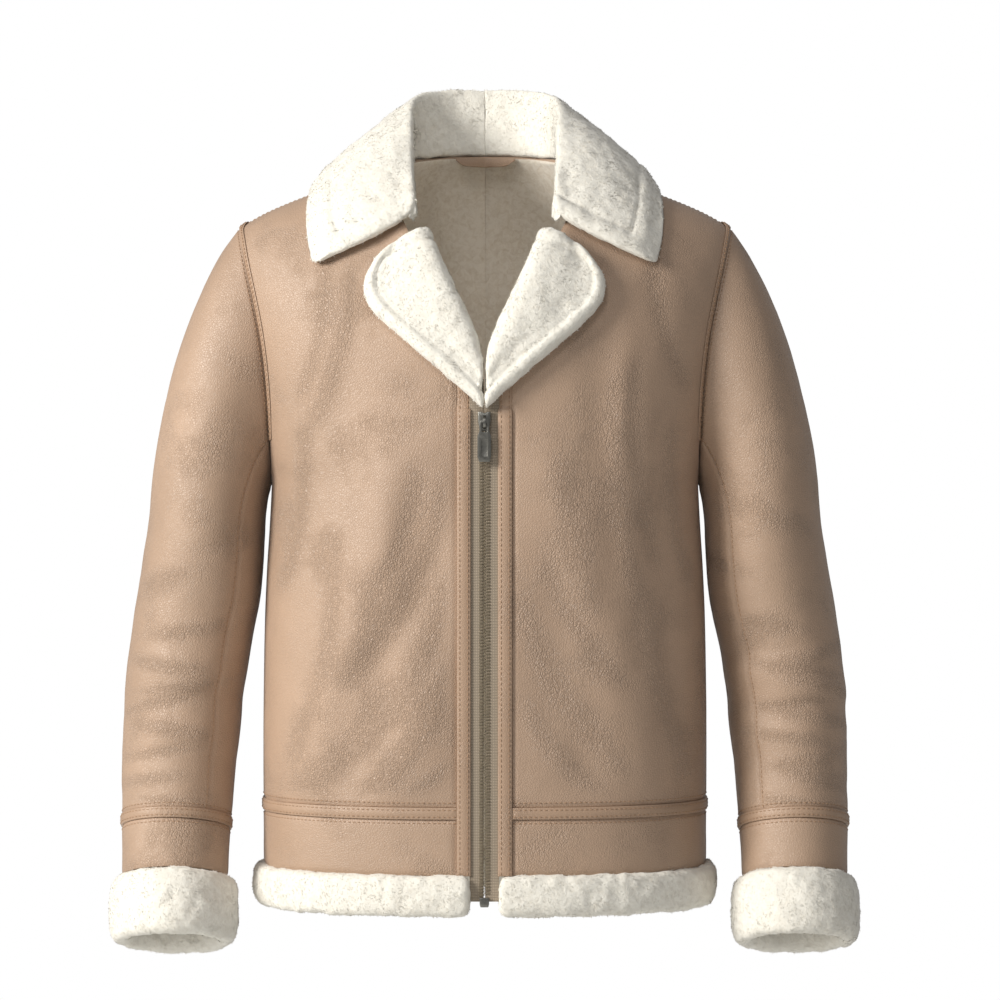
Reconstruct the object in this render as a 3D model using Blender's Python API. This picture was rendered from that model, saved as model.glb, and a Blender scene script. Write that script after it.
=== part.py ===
# Shearling leather jacket, worn form with nobody in it. Metres, +Z up, front faces -Y, +X is the wearer's left.
# The origin is the base of the neck, where the shoulder seams meet the collar.
import bpy
import numpy as np
from math import cos, sin, pi, sqrt

for thing in list(bpy.data.objects):
    bpy.data.objects.remove(thing, do_unlink=True)

# Driving sizes
SEAM = 0.0003            # space between neighbouring pieces
SLEEVE_SEAM = 0.0005     # what each sleeve panel is drawn in by at its seams
WALL = 0.005             # leather with its clipped pile
SECTION_POWER = 2.4      # squareness of the body in plan
DRAPE_TOP = -0.145       # no folds above this height
EDGE_TURN = -0.190       # height at which the front edge leaves the zip for the lapel
ARMPIT_Z = -0.300
NECK_X = 0.075           # high point of the shoulder seam
TIP_X = 0.226            # outer end of the shoulder seam
STRAP_TOP = -0.585
STRAP_BOTTOM = -0.5955
BAND_BOTTOM = -0.6455
HEM_FUR_TOP = -0.6462
HEM_FUR_BOTTOM = -0.6805
STRIP_IN = 0.0121        # edges of the raised strip beside the zip
STRIP_OUT = 0.0245
STRIP_RAISE = 0.0022
LAPEL_FOOT = -0.2335
STRIP_TOP = -0.206       # the strips run on under the lapels
TAPE_BOTTOM = -0.668
TAPE_SINK = 0.0004       # the tape lies this far under the face of the leather
TAPE_THICK = 0.0016
CHAIN_HALF = 0.0044
CHAIN_PROUD = 0.0008
CHAIN_THICK = 0.0034
STRAP_RAISE = 0.0016
BAND_MIDDLE = -0.620
SLEEVE_STRAP = (-0.602, -0.612)
SLEEVE_BAND_MIDDLE = -0.634
SLEEVE_BAND_END = -0.6560
CUFF_FUR = (-0.6568, -0.7140)

# Reach of the pile outwards and inwards from the face of the leather, and the shape of its roll
HEM_PILE = (0.0100, 0.0125)
CUFF_PILE = (0.0105, 0.0120)
ROLL_SIDES = 12
ROLL_POWER = 0.75

# Grid counts
FRONT_COLS = 10
NECK_COLS = 3
BACK_COLS = FRONT_COLS + NECK_COLS
LOW_ROWS = 8
HIGH_ROWS = 11
LAST_COLUMN = 0.055      # share of a panel that its outermost column takes

# z, half width, front half depth, back half depth
BODY = (
    (-0.700, 0.2030, 0.1300, 0.1220),
    (-0.600, 0.2035, 0.1310, 0.1200),
    (-0.500, 0.2035, 0.1320, 0.1180),
    (-0.400, 0.2015, 0.1325, 0.1200),
    (-0.300, 0.1960, 0.1325, 0.1230),
    (-0.285, 0.1975, 0.1325, 0.1230),
    (-0.239, 0.2050, 0.1320, 0.1230),
    (-0.193, 0.2135, 0.1310, 0.1220),
    (-0.152, 0.2230, 0.1290, 0.1200),
    (-0.106, 0.2350, 0.1270, 0.1180),
    (-0.062, 0.2450, 0.1250, 0.1170),
    (0.050, 0.2500, 0.1220, 0.1150),
)

# x, height of the shoulder line, drop over which the front and the back round in
ROOF = (
    (0.000, 0.0380, 0.205, 0.140),
    (0.040, 0.0290, 0.205, 0.140),
    (0.060, 0.0150, 0.205, 0.140),
    (0.075, 0.0000, 0.200, 0.140),
    (0.100, -0.0090, 0.190, 0.135),
    (0.150, -0.0270, 0.165, 0.130),
    (0.200, -0.0472, 0.140, 0.120),
    (0.226, -0.0620, 0.130, 0.115),
    (0.260, -0.0850, 0.125, 0.110),
)

# z, x of the armhole
ARMHOLE = (
    (-0.300, 0.1960),
    (-0.285, 0.1960),
    (-0.239, 0.1965),
    (-0.193, 0.1998),
    (-0.152, 0.2054),
    (-0.106, 0.2162),
    (-0.062, 0.2260),
)

# z, x of the edge of the front panel: beside the strip, along the lapel, then the neck
FRONT_EDGE = (
    (-0.700, 0.0245),
    (-0.190, 0.0245),
    (-0.160, 0.0310),
    (-0.130, 0.0440),
    (-0.100, 0.0575),
    (-0.064, 0.0730),
    (-0.040, 0.0780),
    (-0.015, 0.0780),
    (0.000, 0.0750),
)

# x, z of the back neckline
BACK_NECK = (
    (0.000, 0.0110),
    (0.040, 0.0098),
    (0.060, 0.0053),
    (0.075, 0.0000),
)

# Folds of the fronts in front view: x, z of one end, x, z of the other, half width, height
FOLDS = {
    1: (
        (0.070, -0.300, 0.150, -0.560, 0.022, 0.0040),
        (0.040, -0.400, 0.090, -0.560, 0.020, -0.0030),
        (0.128, -0.160, 0.140, -0.340, 0.016, 0.0026),
        (0.100, -0.180, 0.105, -0.320, 0.014, -0.0022),
        (0.150, -0.330, 0.172, -0.500, 0.016, -0.0024),
    ),
    -1: (
        (0.080, -0.300, 0.158, -0.545, 0.024, 0.0062),
        (0.042, -0.330, 0.092, -0.500, 0.018, -0.0040),
        (0.036, -0.420, 0.082, -0.575, 0.020, 0.0050),
        (0.110, -0.470, 0.130, -0.580, 0.018, -0.0030),
        (0.110, -0.150, 0.135, -0.300, 0.018, -0.0026),
        (0.160, -0.320, 0.176, -0.480, 0.014, -0.0024),
    ),
}

# Folds of the back, both sides alike but for the last column: x, z, x, z, half width, height, share on the right
BACK_FOLDS = (
    (0.050, -0.300, 0.110, -0.520, 0.024, 0.0040, 0.7),
    (0.120, -0.220, 0.150, -0.400, 0.020, -0.0030, 1.1),
    (0.030, -0.430, 0.060, -0.570, 0.020, -0.0030, 0.8),
    (0.165, -0.340, 0.150, -0.520, 0.016, 0.0026, 1.2),
)

# Sleeve axis: drop below the shoulders, x, half width across, y, half width fore and aft
SLEEVE = (
    (0.335, 0.2560, 0.0535, 0.0000, 0.0730),
    (0.386, 0.2614, 0.0560, 0.0020, 0.0700),
    (0.423, 0.2677, 0.0556, 0.0020, 0.0670),
    (0.460, 0.2735, 0.0550, 0.0000, 0.0645),
    (0.497, 0.2772, 0.0538, -0.0035, 0.0615),
    (0.534, 0.2795, 0.0527, -0.0085, 0.0590),
    (0.570, 0.2812, 0.0512, -0.0150, 0.0565),
    (0.607, 0.2820, 0.0498, -0.0240, 0.0545),
    (0.644, 0.2822, 0.0482, -0.0345, 0.0525),
    (0.720, 0.2822, 0.0478, -0.0580, 0.0515),
)

# Creases round the sleeve: z, middle angle from the outside (90 is the front), spread, half height, rise
SLEEVE_CREASES = {
    1: (
        (-0.455, 95, 60, 0.012, -0.0028),
        (-0.480, 70, 70, 0.012, 0.0030),
        (-0.505, 100, 60, 0.011, -0.0030),
        (-0.530, 80, 70, 0.012, 0.0022),
        (-0.560, 120, 50, 0.012, -0.0018),
        (-0.500, 270, 70, 0.016, 0.0026),
    ),
    -1: (
        (-0.440, 80, 60, 0.013, -0.0022),
        (-0.470, 90, 60, 0.013, 0.0026),
        (-0.500, 110, 60, 0.012, -0.0026),
        (-0.535, 80, 70, 0.014, 0.0020),
        (-0.560, 100, 60, 0.012, -0.0016),
        (-0.510, 265, 70, 0.016, 0.0026),
    ),
}

# Collar, from the centre back to the front end: share, neckline x y z, roll x y z, middle of the fall x y z, edge x y z
COLLAR = (
    (0.00, 0.0000, 0.0672, 0.0117, 0.0000, 0.0800, 0.0680, 0.0000, 0.1120, 0.0290, 0.0000, 0.1180, -0.0280),
    (0.16, 0.0330, 0.0610, 0.0112, 0.0340, 0.0730, 0.0675, 0.0500, 0.1050, 0.0270, 0.0560, 0.1120, -0.0320),
    (0.32, 0.0585, 0.0395, 0.0068, 0.0610, 0.0520, 0.0610, 0.0960, 0.0720, 0.0240, 0.1180, 0.0800, -0.0300),
    (0.48, 0.0690, 0.0050, 0.0030, 0.0690, 0.0200, 0.0480, 0.1080, 0.0220, 0.0200, 0.1530, 0.0240, -0.0220),
    (0.64, 0.0705, -0.0400, -0.0130, 0.0690, -0.0180, 0.0220, 0.1100, -0.0270, 0.0060, 0.1570, -0.0260, -0.0360),
    (0.80, 0.0695, -0.0700, -0.0380, 0.0670, -0.0560, -0.0170, 0.1070, -0.0740, -0.0320, 0.1570, -0.0680, -0.0680),
    (1.00, 0.0655, -0.0960, -0.0620, 0.0620, -0.0930, -0.0560, 0.0960, -0.1080, -0.0860, 0.1490, -0.0960, -0.1010),
)

# Lapel in front view: share, roll line x z, outer edge x z
LAPEL = (
    (0.00, 0.0500, -0.0700, 0.0885, -0.0950),
    (0.14, 0.0440, -0.0835, 0.1010, -0.1100),
    (0.28, 0.0380, -0.0975, 0.1062, -0.1260),
    (0.42, 0.0315, -0.1120, 0.1000, -0.1440),
    (0.58, 0.0235, -0.1290, 0.0760, -0.1670),
    (0.74, 0.0150, -0.1470, 0.0500, -0.1890),
    (0.88, 0.0070, -0.1660, 0.0250, -0.2110),
    (1.00, 0.0010, -0.1860, 0.0016, -0.2320),
)


# Curves and the body surface

def along(rows, t):
    """Smooth curve through rows of (t, values), held at its ends."""
    ts = [row[0] for row in rows]
    vs = [np.array(row[1:], float) for row in rows]
    last = len(rows) - 1
    t = min(max(t, ts[0]), ts[-1])
    i = 0
    while i < last - 1 and t > ts[i + 1]:
        i += 1

    def slope(k):
        a, b = max(k - 1, 0), min(k + 1, last)
        return (vs[b] - vs[a]) / (ts[b] - ts[a])

    d = ts[i + 1] - ts[i]
    u = (t - ts[i]) / d
    return ((2 * u ** 3 - 3 * u ** 2 + 1) * vs[i] + (u ** 3 - 2 * u ** 2 + u) * d * slope(i)
            + (3 * u ** 2 - 2 * u ** 3) * vs[i + 1] + (u ** 3 - u ** 2) * d * slope(i + 1))


def linear(rows, t):
    """Straight lines through rows of (t, value)."""
    return float(np.interp(t, [row[0] for row in rows], [row[1] for row in rows]))


def roof(x):
    return along(ROOF, abs(x))


def fold_rise(x, z, folds):
    """Height of the drape folds at a point of the front view."""
    rise = 0.0
    for x0, z0, x1, z1, half, height in folds:
        dx, dz = x1 - x0, z1 - z0
        length = sqrt(dx * dx + dz * dz)
        s = ((x - x0) * dx + (z - z0) * dz) / length ** 2
        off = ((x - x0) * dz - (z - z0) * dx) / length
        beyond = max(0.0, -s, s - 1.0) * length
        rise += height * np.exp(-(off / half) ** 2 - (beyond / (1.6 * half)) ** 2)
    return rise


def drape(x, z, front, side):
    """Drape of the body, nothing at the straps, the side seams and the centre."""
    if front:
        folds = FOLDS[side]
    else:
        folds = [f[:5] + (f[5] * (1.0 if side > 0 else f[6]),) for f in BACK_FOLDS]
    calm_low = min(1.0, max(0.0, (z - STRAP_TOP) / 0.03))
    calm_high = min(1.0, max(0.0, (DRAPE_TOP - z) / 0.05))
    calm_side = min(1.0, max(0.0, (0.192 - x) / 0.03))
    calm_mid = min(1.0, max(0.0, (x - 0.024) / 0.02))
    return fold_rise(x, z, folds) * calm_low * calm_high * calm_side * calm_mid


def depth_at(x, z, front):
    """Distance of the body surface from the plane of the shoulder seams."""
    half, front_depth, back_depth = along(BODY, z)
    height, front_drop, back_drop = roof(x)
    inner = max(0.0, 1.0 - (abs(x) / half) ** SECTION_POWER) ** (1 / SECTION_POWER)
    t = (height - z) / (front_drop if front else back_drop)
    t = min(1.0, max(0.0, t))
    return (front_depth if front else back_depth) * inner * sqrt(1 - (1 - t) ** 2)


def angle_of(x, z):
    """Plan angle of a body point, 0 at the centre and 90 at the side."""
    half = along(BODY, z)[0]
    return np.arcsin(min(1.0, (x / half) ** (SECTION_POWER / 2)))


def body_at(angle, drop, level, front, side):
    """Body point at a plan angle, either at a level z or a drop below the shoulder line."""
    z = level if level is not None else -0.1
    for _ in range(14):
        x = along(BODY, z)[0] * sin(angle) ** (2 / SECTION_POWER)
        if level is not None:
            break
        z = roof(x)[0] - drop
    y = depth_at(x, z, front) + drape(x, z, front, side) * cos(angle)
    return np.array((side * x, -y if front else y, z))


def unit(v):
    return v / max(1e-12, np.linalg.norm(v))


def normals_of(grid, turn):
    """Outward normals of a grid of points."""
    rows, cols = grid.shape[:2]
    out = np.zeros_like(grid)
    for i in range(rows):
        for j in range(cols):
            down = grid[min(i + 1, rows - 1), j] - grid[max(i - 1, 0), j]
            over = grid[i, min(j + 1, cols - 1)] - grid[i, max(j - 1, 0)]
            out[i, j] = unit(np.cross(over, down)) * turn
    return out


def column_share(j, cols):
    """Share of the way across a panel; the last column keeps to the width of the armhole strap."""
    return (1 - LAST_COLUMN) * j / (cols - 1) if j < cols else 1.0


def row_place(i):
    """Level z for the low rows, else the share of the way from the armpit to the shoulder seam."""
    if i <= LOW_ROWS:
        return STRAP_TOP + (ARMPIT_Z - STRAP_TOP) * i / LOW_ROWS, None
    return None, (i - LOW_ROWS) / HIGH_ROWS


def body_grid(front, side):
    """Rows from the hem strap to the shoulder seam, columns from the centre to the side seam or armhole."""
    cols = FRONT_COLS if front else BACK_COLS
    grid = np.zeros((LOW_ROWS + HIGH_ROWS + 1, cols + 1, 3))
    for i in range(grid.shape[0]):
        level, share = row_place(i)
        if share is None:
            inner = angle_of(linear(FRONT_EDGE, level), level) if front else 0.0
            for j in range(cols + 1):
                share_j = column_share(j, cols)
                grid[i, j] = body_at(inner + (pi / 2 - inner) * share_j, None, level, front, side)
            continue
        climb = (1 - cos(pi * share)) / 2
        out_z = ARMPIT_Z + (ARMHOLE[-1][0] - ARMPIT_Z) * climb
        out_x = linear(ARMHOLE, out_z) if share < 1 else TIP_X
        outer = angle_of(out_x, out_z)
        for j in range(cols + 1):
            if front:
                in_z = ARMPIT_Z * (1 - climb)
                inner = angle_of(linear(FRONT_EDGE, in_z), in_z)
                angle = inner + (outer - inner) * column_share(j, cols)
                top_drop = 0.0
            else:
                angle, top_drop = back_column(j, share, outer)
            x_low = along(BODY, ARMPIT_Z)[0] * sin(angle) ** (2 / SECTION_POWER)
            start = roof(x_low)[0] - ARMPIT_Z
            grid[i, j] = body_at(angle, top_drop + (start - top_drop) * (1 - climb), None, front, side)
        if share < 1:
            edge_y = depth_at(out_x, out_z, front)
            grid[i, cols] = (side * out_x, -edge_y if front else edge_y, out_z)
    return grid


def back_column(j, share, outer):
    """Plan angle and drop at the top of a back column: the first columns end at the neckline."""
    even = outer * column_share(j, BACK_COLS)
    if j <= NECK_COLS:
        x_top = NECK_X * j / NECK_COLS
    else:
        x_top = NECK_X + (TIP_X - NECK_X) * column_share(j - NECK_COLS, FRONT_COLS)
    z_top = along(BACK_NECK, x_top)[0] if j < NECK_COLS else roof(x_top)[0]
    wanted = angle_of(x_top, z_top)
    drop = roof(x_top)[0] - z_top if j < NECK_COLS else 0.0
    blend = share * share * (3 - 2 * share)
    return even * (1 - blend) + wanted * blend, drop


def level_normals(grid):
    """Level outward normals of ring rows, square to the plan of the body."""
    out = np.zeros_like(grid)
    for i in range(grid.shape[0]):
        half, fore, aft = along(BODY, grid[i, 0, 2])
        for j in range(grid.shape[1]):
            x, y, _ = grid[i, j]
            deep = fore if y < 0 else aft
            out[i, j] = unit(np.array((np.sign(x) * (abs(x) / half) ** 1.4 / half,
                                       np.sign(y) * (abs(y) / deep) ** 1.4 / deep, 0.0)))
    return out


BODY_GRIDS = {}
for side in (1, -1):
    fore = body_grid(True, side)
    aft = body_grid(False, side)
    # The front and back share the line of the shoulder seam
    for j in range(FRONT_COLS + 1):
        x_seam = NECK_X + (TIP_X - NECK_X) * column_share(j, FRONT_COLS)
        seam = np.array((side * x_seam, 0.0, roof(x_seam)[0]))
        fore[-1, j] = seam
        aft[-1, j + NECK_COLS] = seam
    fore_n = normals_of(fore, side)
    aft_n = normals_of(aft, -side)
    fore_n[0] = level_normals(fore[:1])[0]
    aft_n[0] = level_normals(aft[:1])[0]
    for i in range(fore.shape[0]):
        if fore[i, 0, 2] < EDGE_TURN:
            fore_n[i, 0] = (0, -1, 0)
    for i in range(LOW_ROWS + 1):
        shared = unit(fore_n[i, -1] + aft_n[i, -1])
        fore_n[i, -1] = shared
        aft_n[i, -1] = shared
    for j in range(FRONT_COLS + 1):
        a, b = max(j - 1, 0), min(j + 1, FRONT_COLS)
        run = unit(fore[-1, b] - fore[-1, a])
        up = unit(np.cross(run, np.array((0, 1.0, 0)))) * side
        up = up if up[2] > 0 else -up
        fore_n[-1, j] = up
        aft_n[-1, j + NECK_COLS] = up
    aft_n[:, 0, 0] = 0
    for i in range(aft_n.shape[0]):
        aft_n[i, 0] = unit(aft_n[i, 0])
    BODY_GRIDS[side] = (fore, fore_n, aft, aft_n)


# Sleeves: the cap runs from the armhole to the first ring, then rings go down the arm

AROUND = 2 * HIGH_ROWS
TOP_START, TOP_END = 14, 8      # the two seams of the sleeve, counted from the shoulder towards the front
CAP_ROWS = 7
SLEEVE_LEVELS = (-0.365, -0.395, -0.425, -0.450, -0.470, -0.490, -0.510, -0.530, -0.552, -0.577)


def ring_frame(level):
    """Middle of the sleeve, its outward and forward directions and its reaches at a level of its axis."""
    x, wide, y, deep = along(SLEEVE, -level)
    a = along(SLEEVE, -level + 0.004)
    b = along(SLEEVE, -level - 0.004)
    down = unit(np.array((a[0] - b[0], a[2] - b[2], -0.008)))
    out = unit(np.array((1.0, 0, 0)) - down * down[0])
    fore = unit(np.cross(out, down))
    fore = fore if fore[1] < 0 else -fore
    return np.array((x, y, level)), out, fore, wide, deep, down


def ring_point(level, angle, side, grow=0.0):
    """Point round the sleeve; the angle is 0 outside, 90 in front."""
    middle, out, fore, wide, deep, _ = ring_frame(level)
    rise = grow
    for z, at, spread, half, height in SLEEVE_CREASES[side]:
        turn = (angle * 180 / pi - at + 180) % 360 - 180
        slant = 0.00012 * turn
        rise += height * np.exp(-(turn / spread) ** 2 - ((level - z - slant) / half) ** 2)
    p = middle + out * (wide + rise) * cos(angle) + fore * (deep + rise) * sin(angle)
    return np.array((side * p[0], p[1], p[2]))


def armhole_loop(side):
    """Armhole points and the wall direction there, from the shoulder down the front and up the back."""
    fore, fore_n, aft, aft_n = BODY_GRIDS[side]
    top = fore.shape[0] - 1
    points = [fore[i, -1] for i in range(top, LOW_ROWS, -1)] + [aft[i, -1] for i in range(LOW_ROWS, top)]
    norms = [fore_n[i, -1] for i in range(top, LOW_ROWS, -1)] + [aft_n[i, -1] for i in range(LOW_ROWS, top)]
    return points, norms


def cap_start(angle):
    """Direction in which the sleeve leaves the armhole."""
    c = cos(angle)
    return unit(np.array((0.75 + 0.095 * c - 0.215 * c * c, -0.25 * sin(angle), -0.6 + 0.085 * c - 0.265 * c * c)))


def share_seams(side):
    """Gives the body edge at the armhole a wall direction halfway between body and sleeve."""
    fore, fore_n, aft, aft_n = BODY_GRIDS[side]
    loop, _ = armhole_loop(side)
    top = fore.shape[0] - 1
    middle = np.mean(loop, axis=0) + np.array((side * 0.03, 0, 0))
    for k in range(AROUND):
        tangent = loop[(k + 1) % AROUND] - loop[k - 1]
        away = cap_start(2 * pi * k / AROUND) * np.array((side, 1, 1))
        sleeve_n = unit(np.cross(tangent, away))
        if np.dot(sleeve_n, loop[k] - middle) < 0:
            sleeve_n = -sleeve_n
        if k <= HIGH_ROWS:
            body_n = fore_n[top - k, -1]
        else:
            body_n = aft_n[LOW_ROWS + k - HIGH_ROWS, -1]
        both = unit(body_n + sleeve_n)
        if k <= HIGH_ROWS:
            fore_n[top - k, -1] = both
        if k >= HIGH_ROWS:
            aft_n[LOW_ROWS + k - HIGH_ROWS, -1] = both
        if k == 0:
            aft_n[top, -1] = both


def sleeve_grid(side):
    """Rows from the armhole to the sleeve strap, columns round the arm, with their normals."""
    loop, seam_n = armhole_loop(side)
    levels = (-SLEEVE[0][0],) + SLEEVE_LEVELS + (SLEEVE_STRAP[0],)
    rows = CAP_ROWS + len(levels)
    grid = np.zeros((rows, AROUND, 3))
    for k in range(AROUND):
        angle = 2 * pi * k / AROUND
        start = loop[k]
        end = ring_point(levels[0], angle, side)
        down = ring_frame(levels[0])[5] * np.array((side, 1, 1))
        away = cap_start(angle) * np.array((side, 1, 1))
        far = np.linalg.norm(end - start)
        for i in range(CAP_ROWS):
            u = i / CAP_ROWS
            grid[i, k] = ((2 * u ** 3 - 3 * u ** 2 + 1) * start + (u ** 3 - 2 * u ** 2 + u) * 0.74 * far * away
                          + (3 * u ** 2 - 2 * u ** 3) * end + (u ** 3 - u ** 2) * 1.1 * far * down)
        for i, level in enumerate(levels):
            grid[CAP_ROWS + i, k] = ring_point(level, angle, side)
    wide = np.concatenate([grid[:, -1:], grid, grid[:, :1]], axis=1)
    norms = normals_of(wide, side)[:, 1:-1]
    middle = grid.mean(axis=1)
    for i in range(rows):
        for k in range(AROUND):
            if np.dot(norms[i, k], grid[i, k] - middle[i]) < 0:
                norms[i, k] = -norms[i, k]
    for k in range(AROUND):
        norms[0, k] = seam_n[k]
        away = grid[1, k] - grid[0, k]
        grid[0, k] += SEAM * unit(away - seam_n[k] * np.dot(away, seam_n[k]))
    return grid, norms


for side in (1, -1):
    share_seams(side)


# Meshes and materials

def linear_colour(text):
    """Photo colour as a hex string, to linear light."""
    parts = [int(text[k:k + 2], 16) / 255 for k in (0, 2, 4)]
    return [p / 12.92 if p <= 0.04045 else ((p + 0.055) / 1.055) ** 2.4 for p in parts] + [1.0]


# name: colour, roughness, metallic
FINISH = {
    "leather": ("B8977B", 0.48, 0.0),
    "leather_strap": ("AE8C70", 0.48, 0.0),
    "wool": ("EAE7E0", 0.95, 0.0),
    "zip_tape": ("A89986", 0.85, 0.0),
    "zip_metal": ("83827D", 0.38, 0.9),
}


def add(name, verts, faces, finish):
    """One named closed solid with its own material."""
    mesh = bpy.data.meshes.new(name)
    mesh.from_pydata([tuple(float(c) for c in v) for v in verts], [], faces)
    mesh.validate()
    thing = bpy.data.objects.new(name, mesh)
    bpy.context.scene.collection.objects.link(thing)
    bpy.ops.object.select_all(action="DESELECT")
    thing.select_set(True)
    bpy.context.view_layer.objects.active = thing
    bpy.ops.object.mode_set(mode="EDIT")
    bpy.ops.mesh.select_all(action="SELECT")
    bpy.ops.mesh.normals_make_consistent(inside=False)
    bpy.ops.object.mode_set(mode="OBJECT")
    for face in mesh.polygons:
        face.use_smooth = True
    colour, roughness, metallic = FINISH[finish]
    material = bpy.data.materials.new(f"{finish}_{name}")
    material.use_nodes = True
    shader = material.node_tree.nodes["Principled BSDF"]
    shader.inputs["Base Color"].default_value = linear_colour(colour)
    shader.inputs["Roughness"].default_value = roughness
    shader.inputs["Metallic"].default_value = metallic
    mesh.materials.append(material)
    return thing


def wall(name, outer, inner, finish):
    """Closed sheet between two grids of points."""
    rows, cols = outer.shape[:2]
    verts = list(outer.reshape(-1, 3)) + list(inner.reshape(-1, 3))
    count = rows * cols
    faces = []
    for i in range(rows - 1):
        for j in range(cols - 1):
            a, b, c, d = i * cols + j, i * cols + j + 1, (i + 1) * cols + j + 1, (i + 1) * cols + j
            faces.append((a, b, c, d))
            faces.append((a + count, d + count, c + count, b + count))
    rim = [(0, j) for j in range(cols - 1)] + [(i, cols - 1) for i in range(rows - 1)]
    rim += [(rows - 1, j) for j in range(cols - 1, 0, -1)] + [(i, 0) for i in range(rows - 1, 0, -1)]
    ring = [i * cols + j for i, j in rim]
    for k, a in enumerate(ring):
        b = ring[(k + 1) % len(ring)]
        # Neighbouring panels split their shared border along the same diagonals
        if a < b:
            faces += [(a, a + count, b + count), (a, b + count, b)]
        else:
            faces += [(a, a + count, b), (a + count, b + count, b)]
    return add(name, verts, faces, finish)


def sweep(name, sections, finish, closed=False):
    """Solid through a run of closed sections with equal counts; a closed run is a ring."""
    count = len(sections[0])
    verts = [p for section in sections for p in section]
    faces = []
    runs = len(sections) if closed else len(sections) - 1
    for i in range(runs):
        nxt = (i + 1) % len(sections)
        for j in range(count):
            k = (j + 1) % count
            faces.append((i * count + j, i * count + k, nxt * count + k, nxt * count + j))
    if not closed:
        for at, turn in ((0, 1), (len(sections) - 1, -1)):
            middle = np.mean(sections[at], axis=0)
            verts.append(middle)
            hub = len(verts) - 1
            for j in range(count):
                faces.append((at * count + j, at * count + (j + 1) % count, hub)[::turn])
    return add(name, verts, faces, finish)


def inset(grid, sides, by=SEAM / 2):
    """Grid with the named borders drawn in: t top row, b bottom row, i inner column, o outer column."""
    out = grid.copy()
    for letter in sides:
        if letter == "b":
            out[0] += by * np.array([unit(v) for v in grid[1] - grid[0]])
        if letter == "t":
            out[-1] += by * np.array([unit(v) for v in grid[-2] - grid[-1]])
        if letter == "i":
            out[:, 0] += by * np.array([unit(v) for v in grid[:, 1] - grid[:, 0]])
        if letter == "o":
            out[:, -1] += by * np.array([unit(v) for v in grid[:, -2] - grid[:, -1]])
    return out


def panel(name, grid, norms, sides, finish, raise_by=0.0, thick=WALL, by=SEAM / 2):
    outer = inset(grid + norms * raise_by, sides, by)
    inner = inset(grid + norms * (raise_by - thick), sides, by)
    return wall(name, outer, inner, finish)


NAMES = {1: "left", -1: "right"}


# Body panels, hem straps, bands and the fur under them

def ring_rows(levels, front, side):
    """Rows of the body at the given levels with the columns of the low rows."""
    cols = FRONT_COLS if front else BACK_COLS
    grid = np.zeros((len(levels), cols + 1, 3))
    for i, level in enumerate(levels):
        inner = angle_of(STRIP_OUT, level) if front else 0.0
        for j in range(cols + 1):
            share = column_share(j, cols)
            grid[i, j] = body_at(inner + (pi / 2 - inner) * share, None, level, front, side)
    return grid


for side in (1, -1):
    tag = NAMES[side]
    fore, fore_n, aft, aft_n = BODY_GRIDS[side]
    panel(f"front_{tag}", fore, fore_n, "btio", "leather")
    panel(f"back_{tag}", aft, aft_n, "btio", "leather")

for part, levels, rise, finish in (
    ("hem_strap", (STRAP_BOTTOM, STRAP_TOP), STRAP_RAISE, "leather_strap"),
    ("hem_band", (BAND_BOTTOM, BAND_MIDDLE, STRAP_BOTTOM), 0.0, "leather"),
):
    for side in (1, -1):
        grid = ring_rows(levels, True, side)
        panel(f"{part}_{NAMES[side]}", grid, level_normals(grid), "btio", finish, rise, WALL + rise)
    left = ring_rows(levels, False, 1)
    right = ring_rows(levels, False, -1)
    around = np.concatenate([left[:, ::-1], right[:, 1:]], axis=1)
    panel(f"{part}_back", around, level_normals(around), "btio", finish, rise, WALL + rise)


def roll_shape(pile):
    """Reach across and share of the half height at each corner of a roll of pile."""
    shape = []
    for k in range(ROLL_SIDES):
        c, s = cos(2 * pi * k / ROLL_SIDES), sin(2 * pi * k / ROLL_SIDES)
        across = np.sign(c) * abs(c) ** ROLL_POWER * (pile[0] if c > 0 else pile[1])
        shape.append((across, np.sign(s) * abs(s) ** ROLL_POWER))
    return shape


UP = np.array((0, 0, 1.0))
HEM_FUR_MIDDLE = (HEM_FUR_BOTTOM + HEM_FUR_TOP) / 2
HEM_FUR_HALF = (HEM_FUR_TOP - HEM_FUR_BOTTOM) / 2


def hem_fur(name, columns):
    """Fur roll along the hem through body columns given as (point, normal, size)."""
    sections = []
    for point, out, size in columns:
        base = np.array((point[0], point[1], HEM_FUR_MIDDLE))
        sections.append([base + out * across * size + UP * rise * HEM_FUR_HALF * size
                         for across, rise in roll_shape(HEM_PILE)])
    sweep(name, sections, "wool")


# The front rolls narrow towards the zip: x, size
FUR_NOSE = ((0.0195, 1.0), (0.0155, 0.9), (0.0128, 0.62))

for side in (1, -1):
    low = ring_rows((HEM_FUR_MIDDLE,), True, side)
    flat = level_normals(low)
    spots = [(low[0, j], flat[0, j], 1.0) for j in range(FRONT_COLS + 1)]
    first = low[0, 0].copy()
    for x, size in FUR_NOSE:
        first[0] = side * x
        spots.insert(0, (first.copy(), np.array((0, -1.0, 0)), size))
    spots[-1] = (spots[-1][0] + np.array((0, -SEAM / 2, 0)), spots[-1][1], 1.0)
    hem_fur(f"hem_fur_{NAMES[side]}", spots)
left = ring_rows((HEM_FUR_MIDDLE,), False, 1)
right = ring_rows((HEM_FUR_MIDDLE,), False, -1)
around = np.concatenate([left[:, ::-1], right[:, 1:]], axis=1)
flat = level_normals(around)
spots = [(around[0, j], flat[0, j], 1.0) for j in range(around.shape[1])]
for k in (0, -1):
    spots[k] = (spots[k][0] + np.array((0, SEAM / 2, 0)), spots[k][1], 1.0)
hem_fur("hem_fur_back", spots)


# Strips, tapes and the zip down the centre front

def front_column(x, z, rise):
    return np.array((x, -(depth_at(x, z, True) + rise), z))


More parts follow.
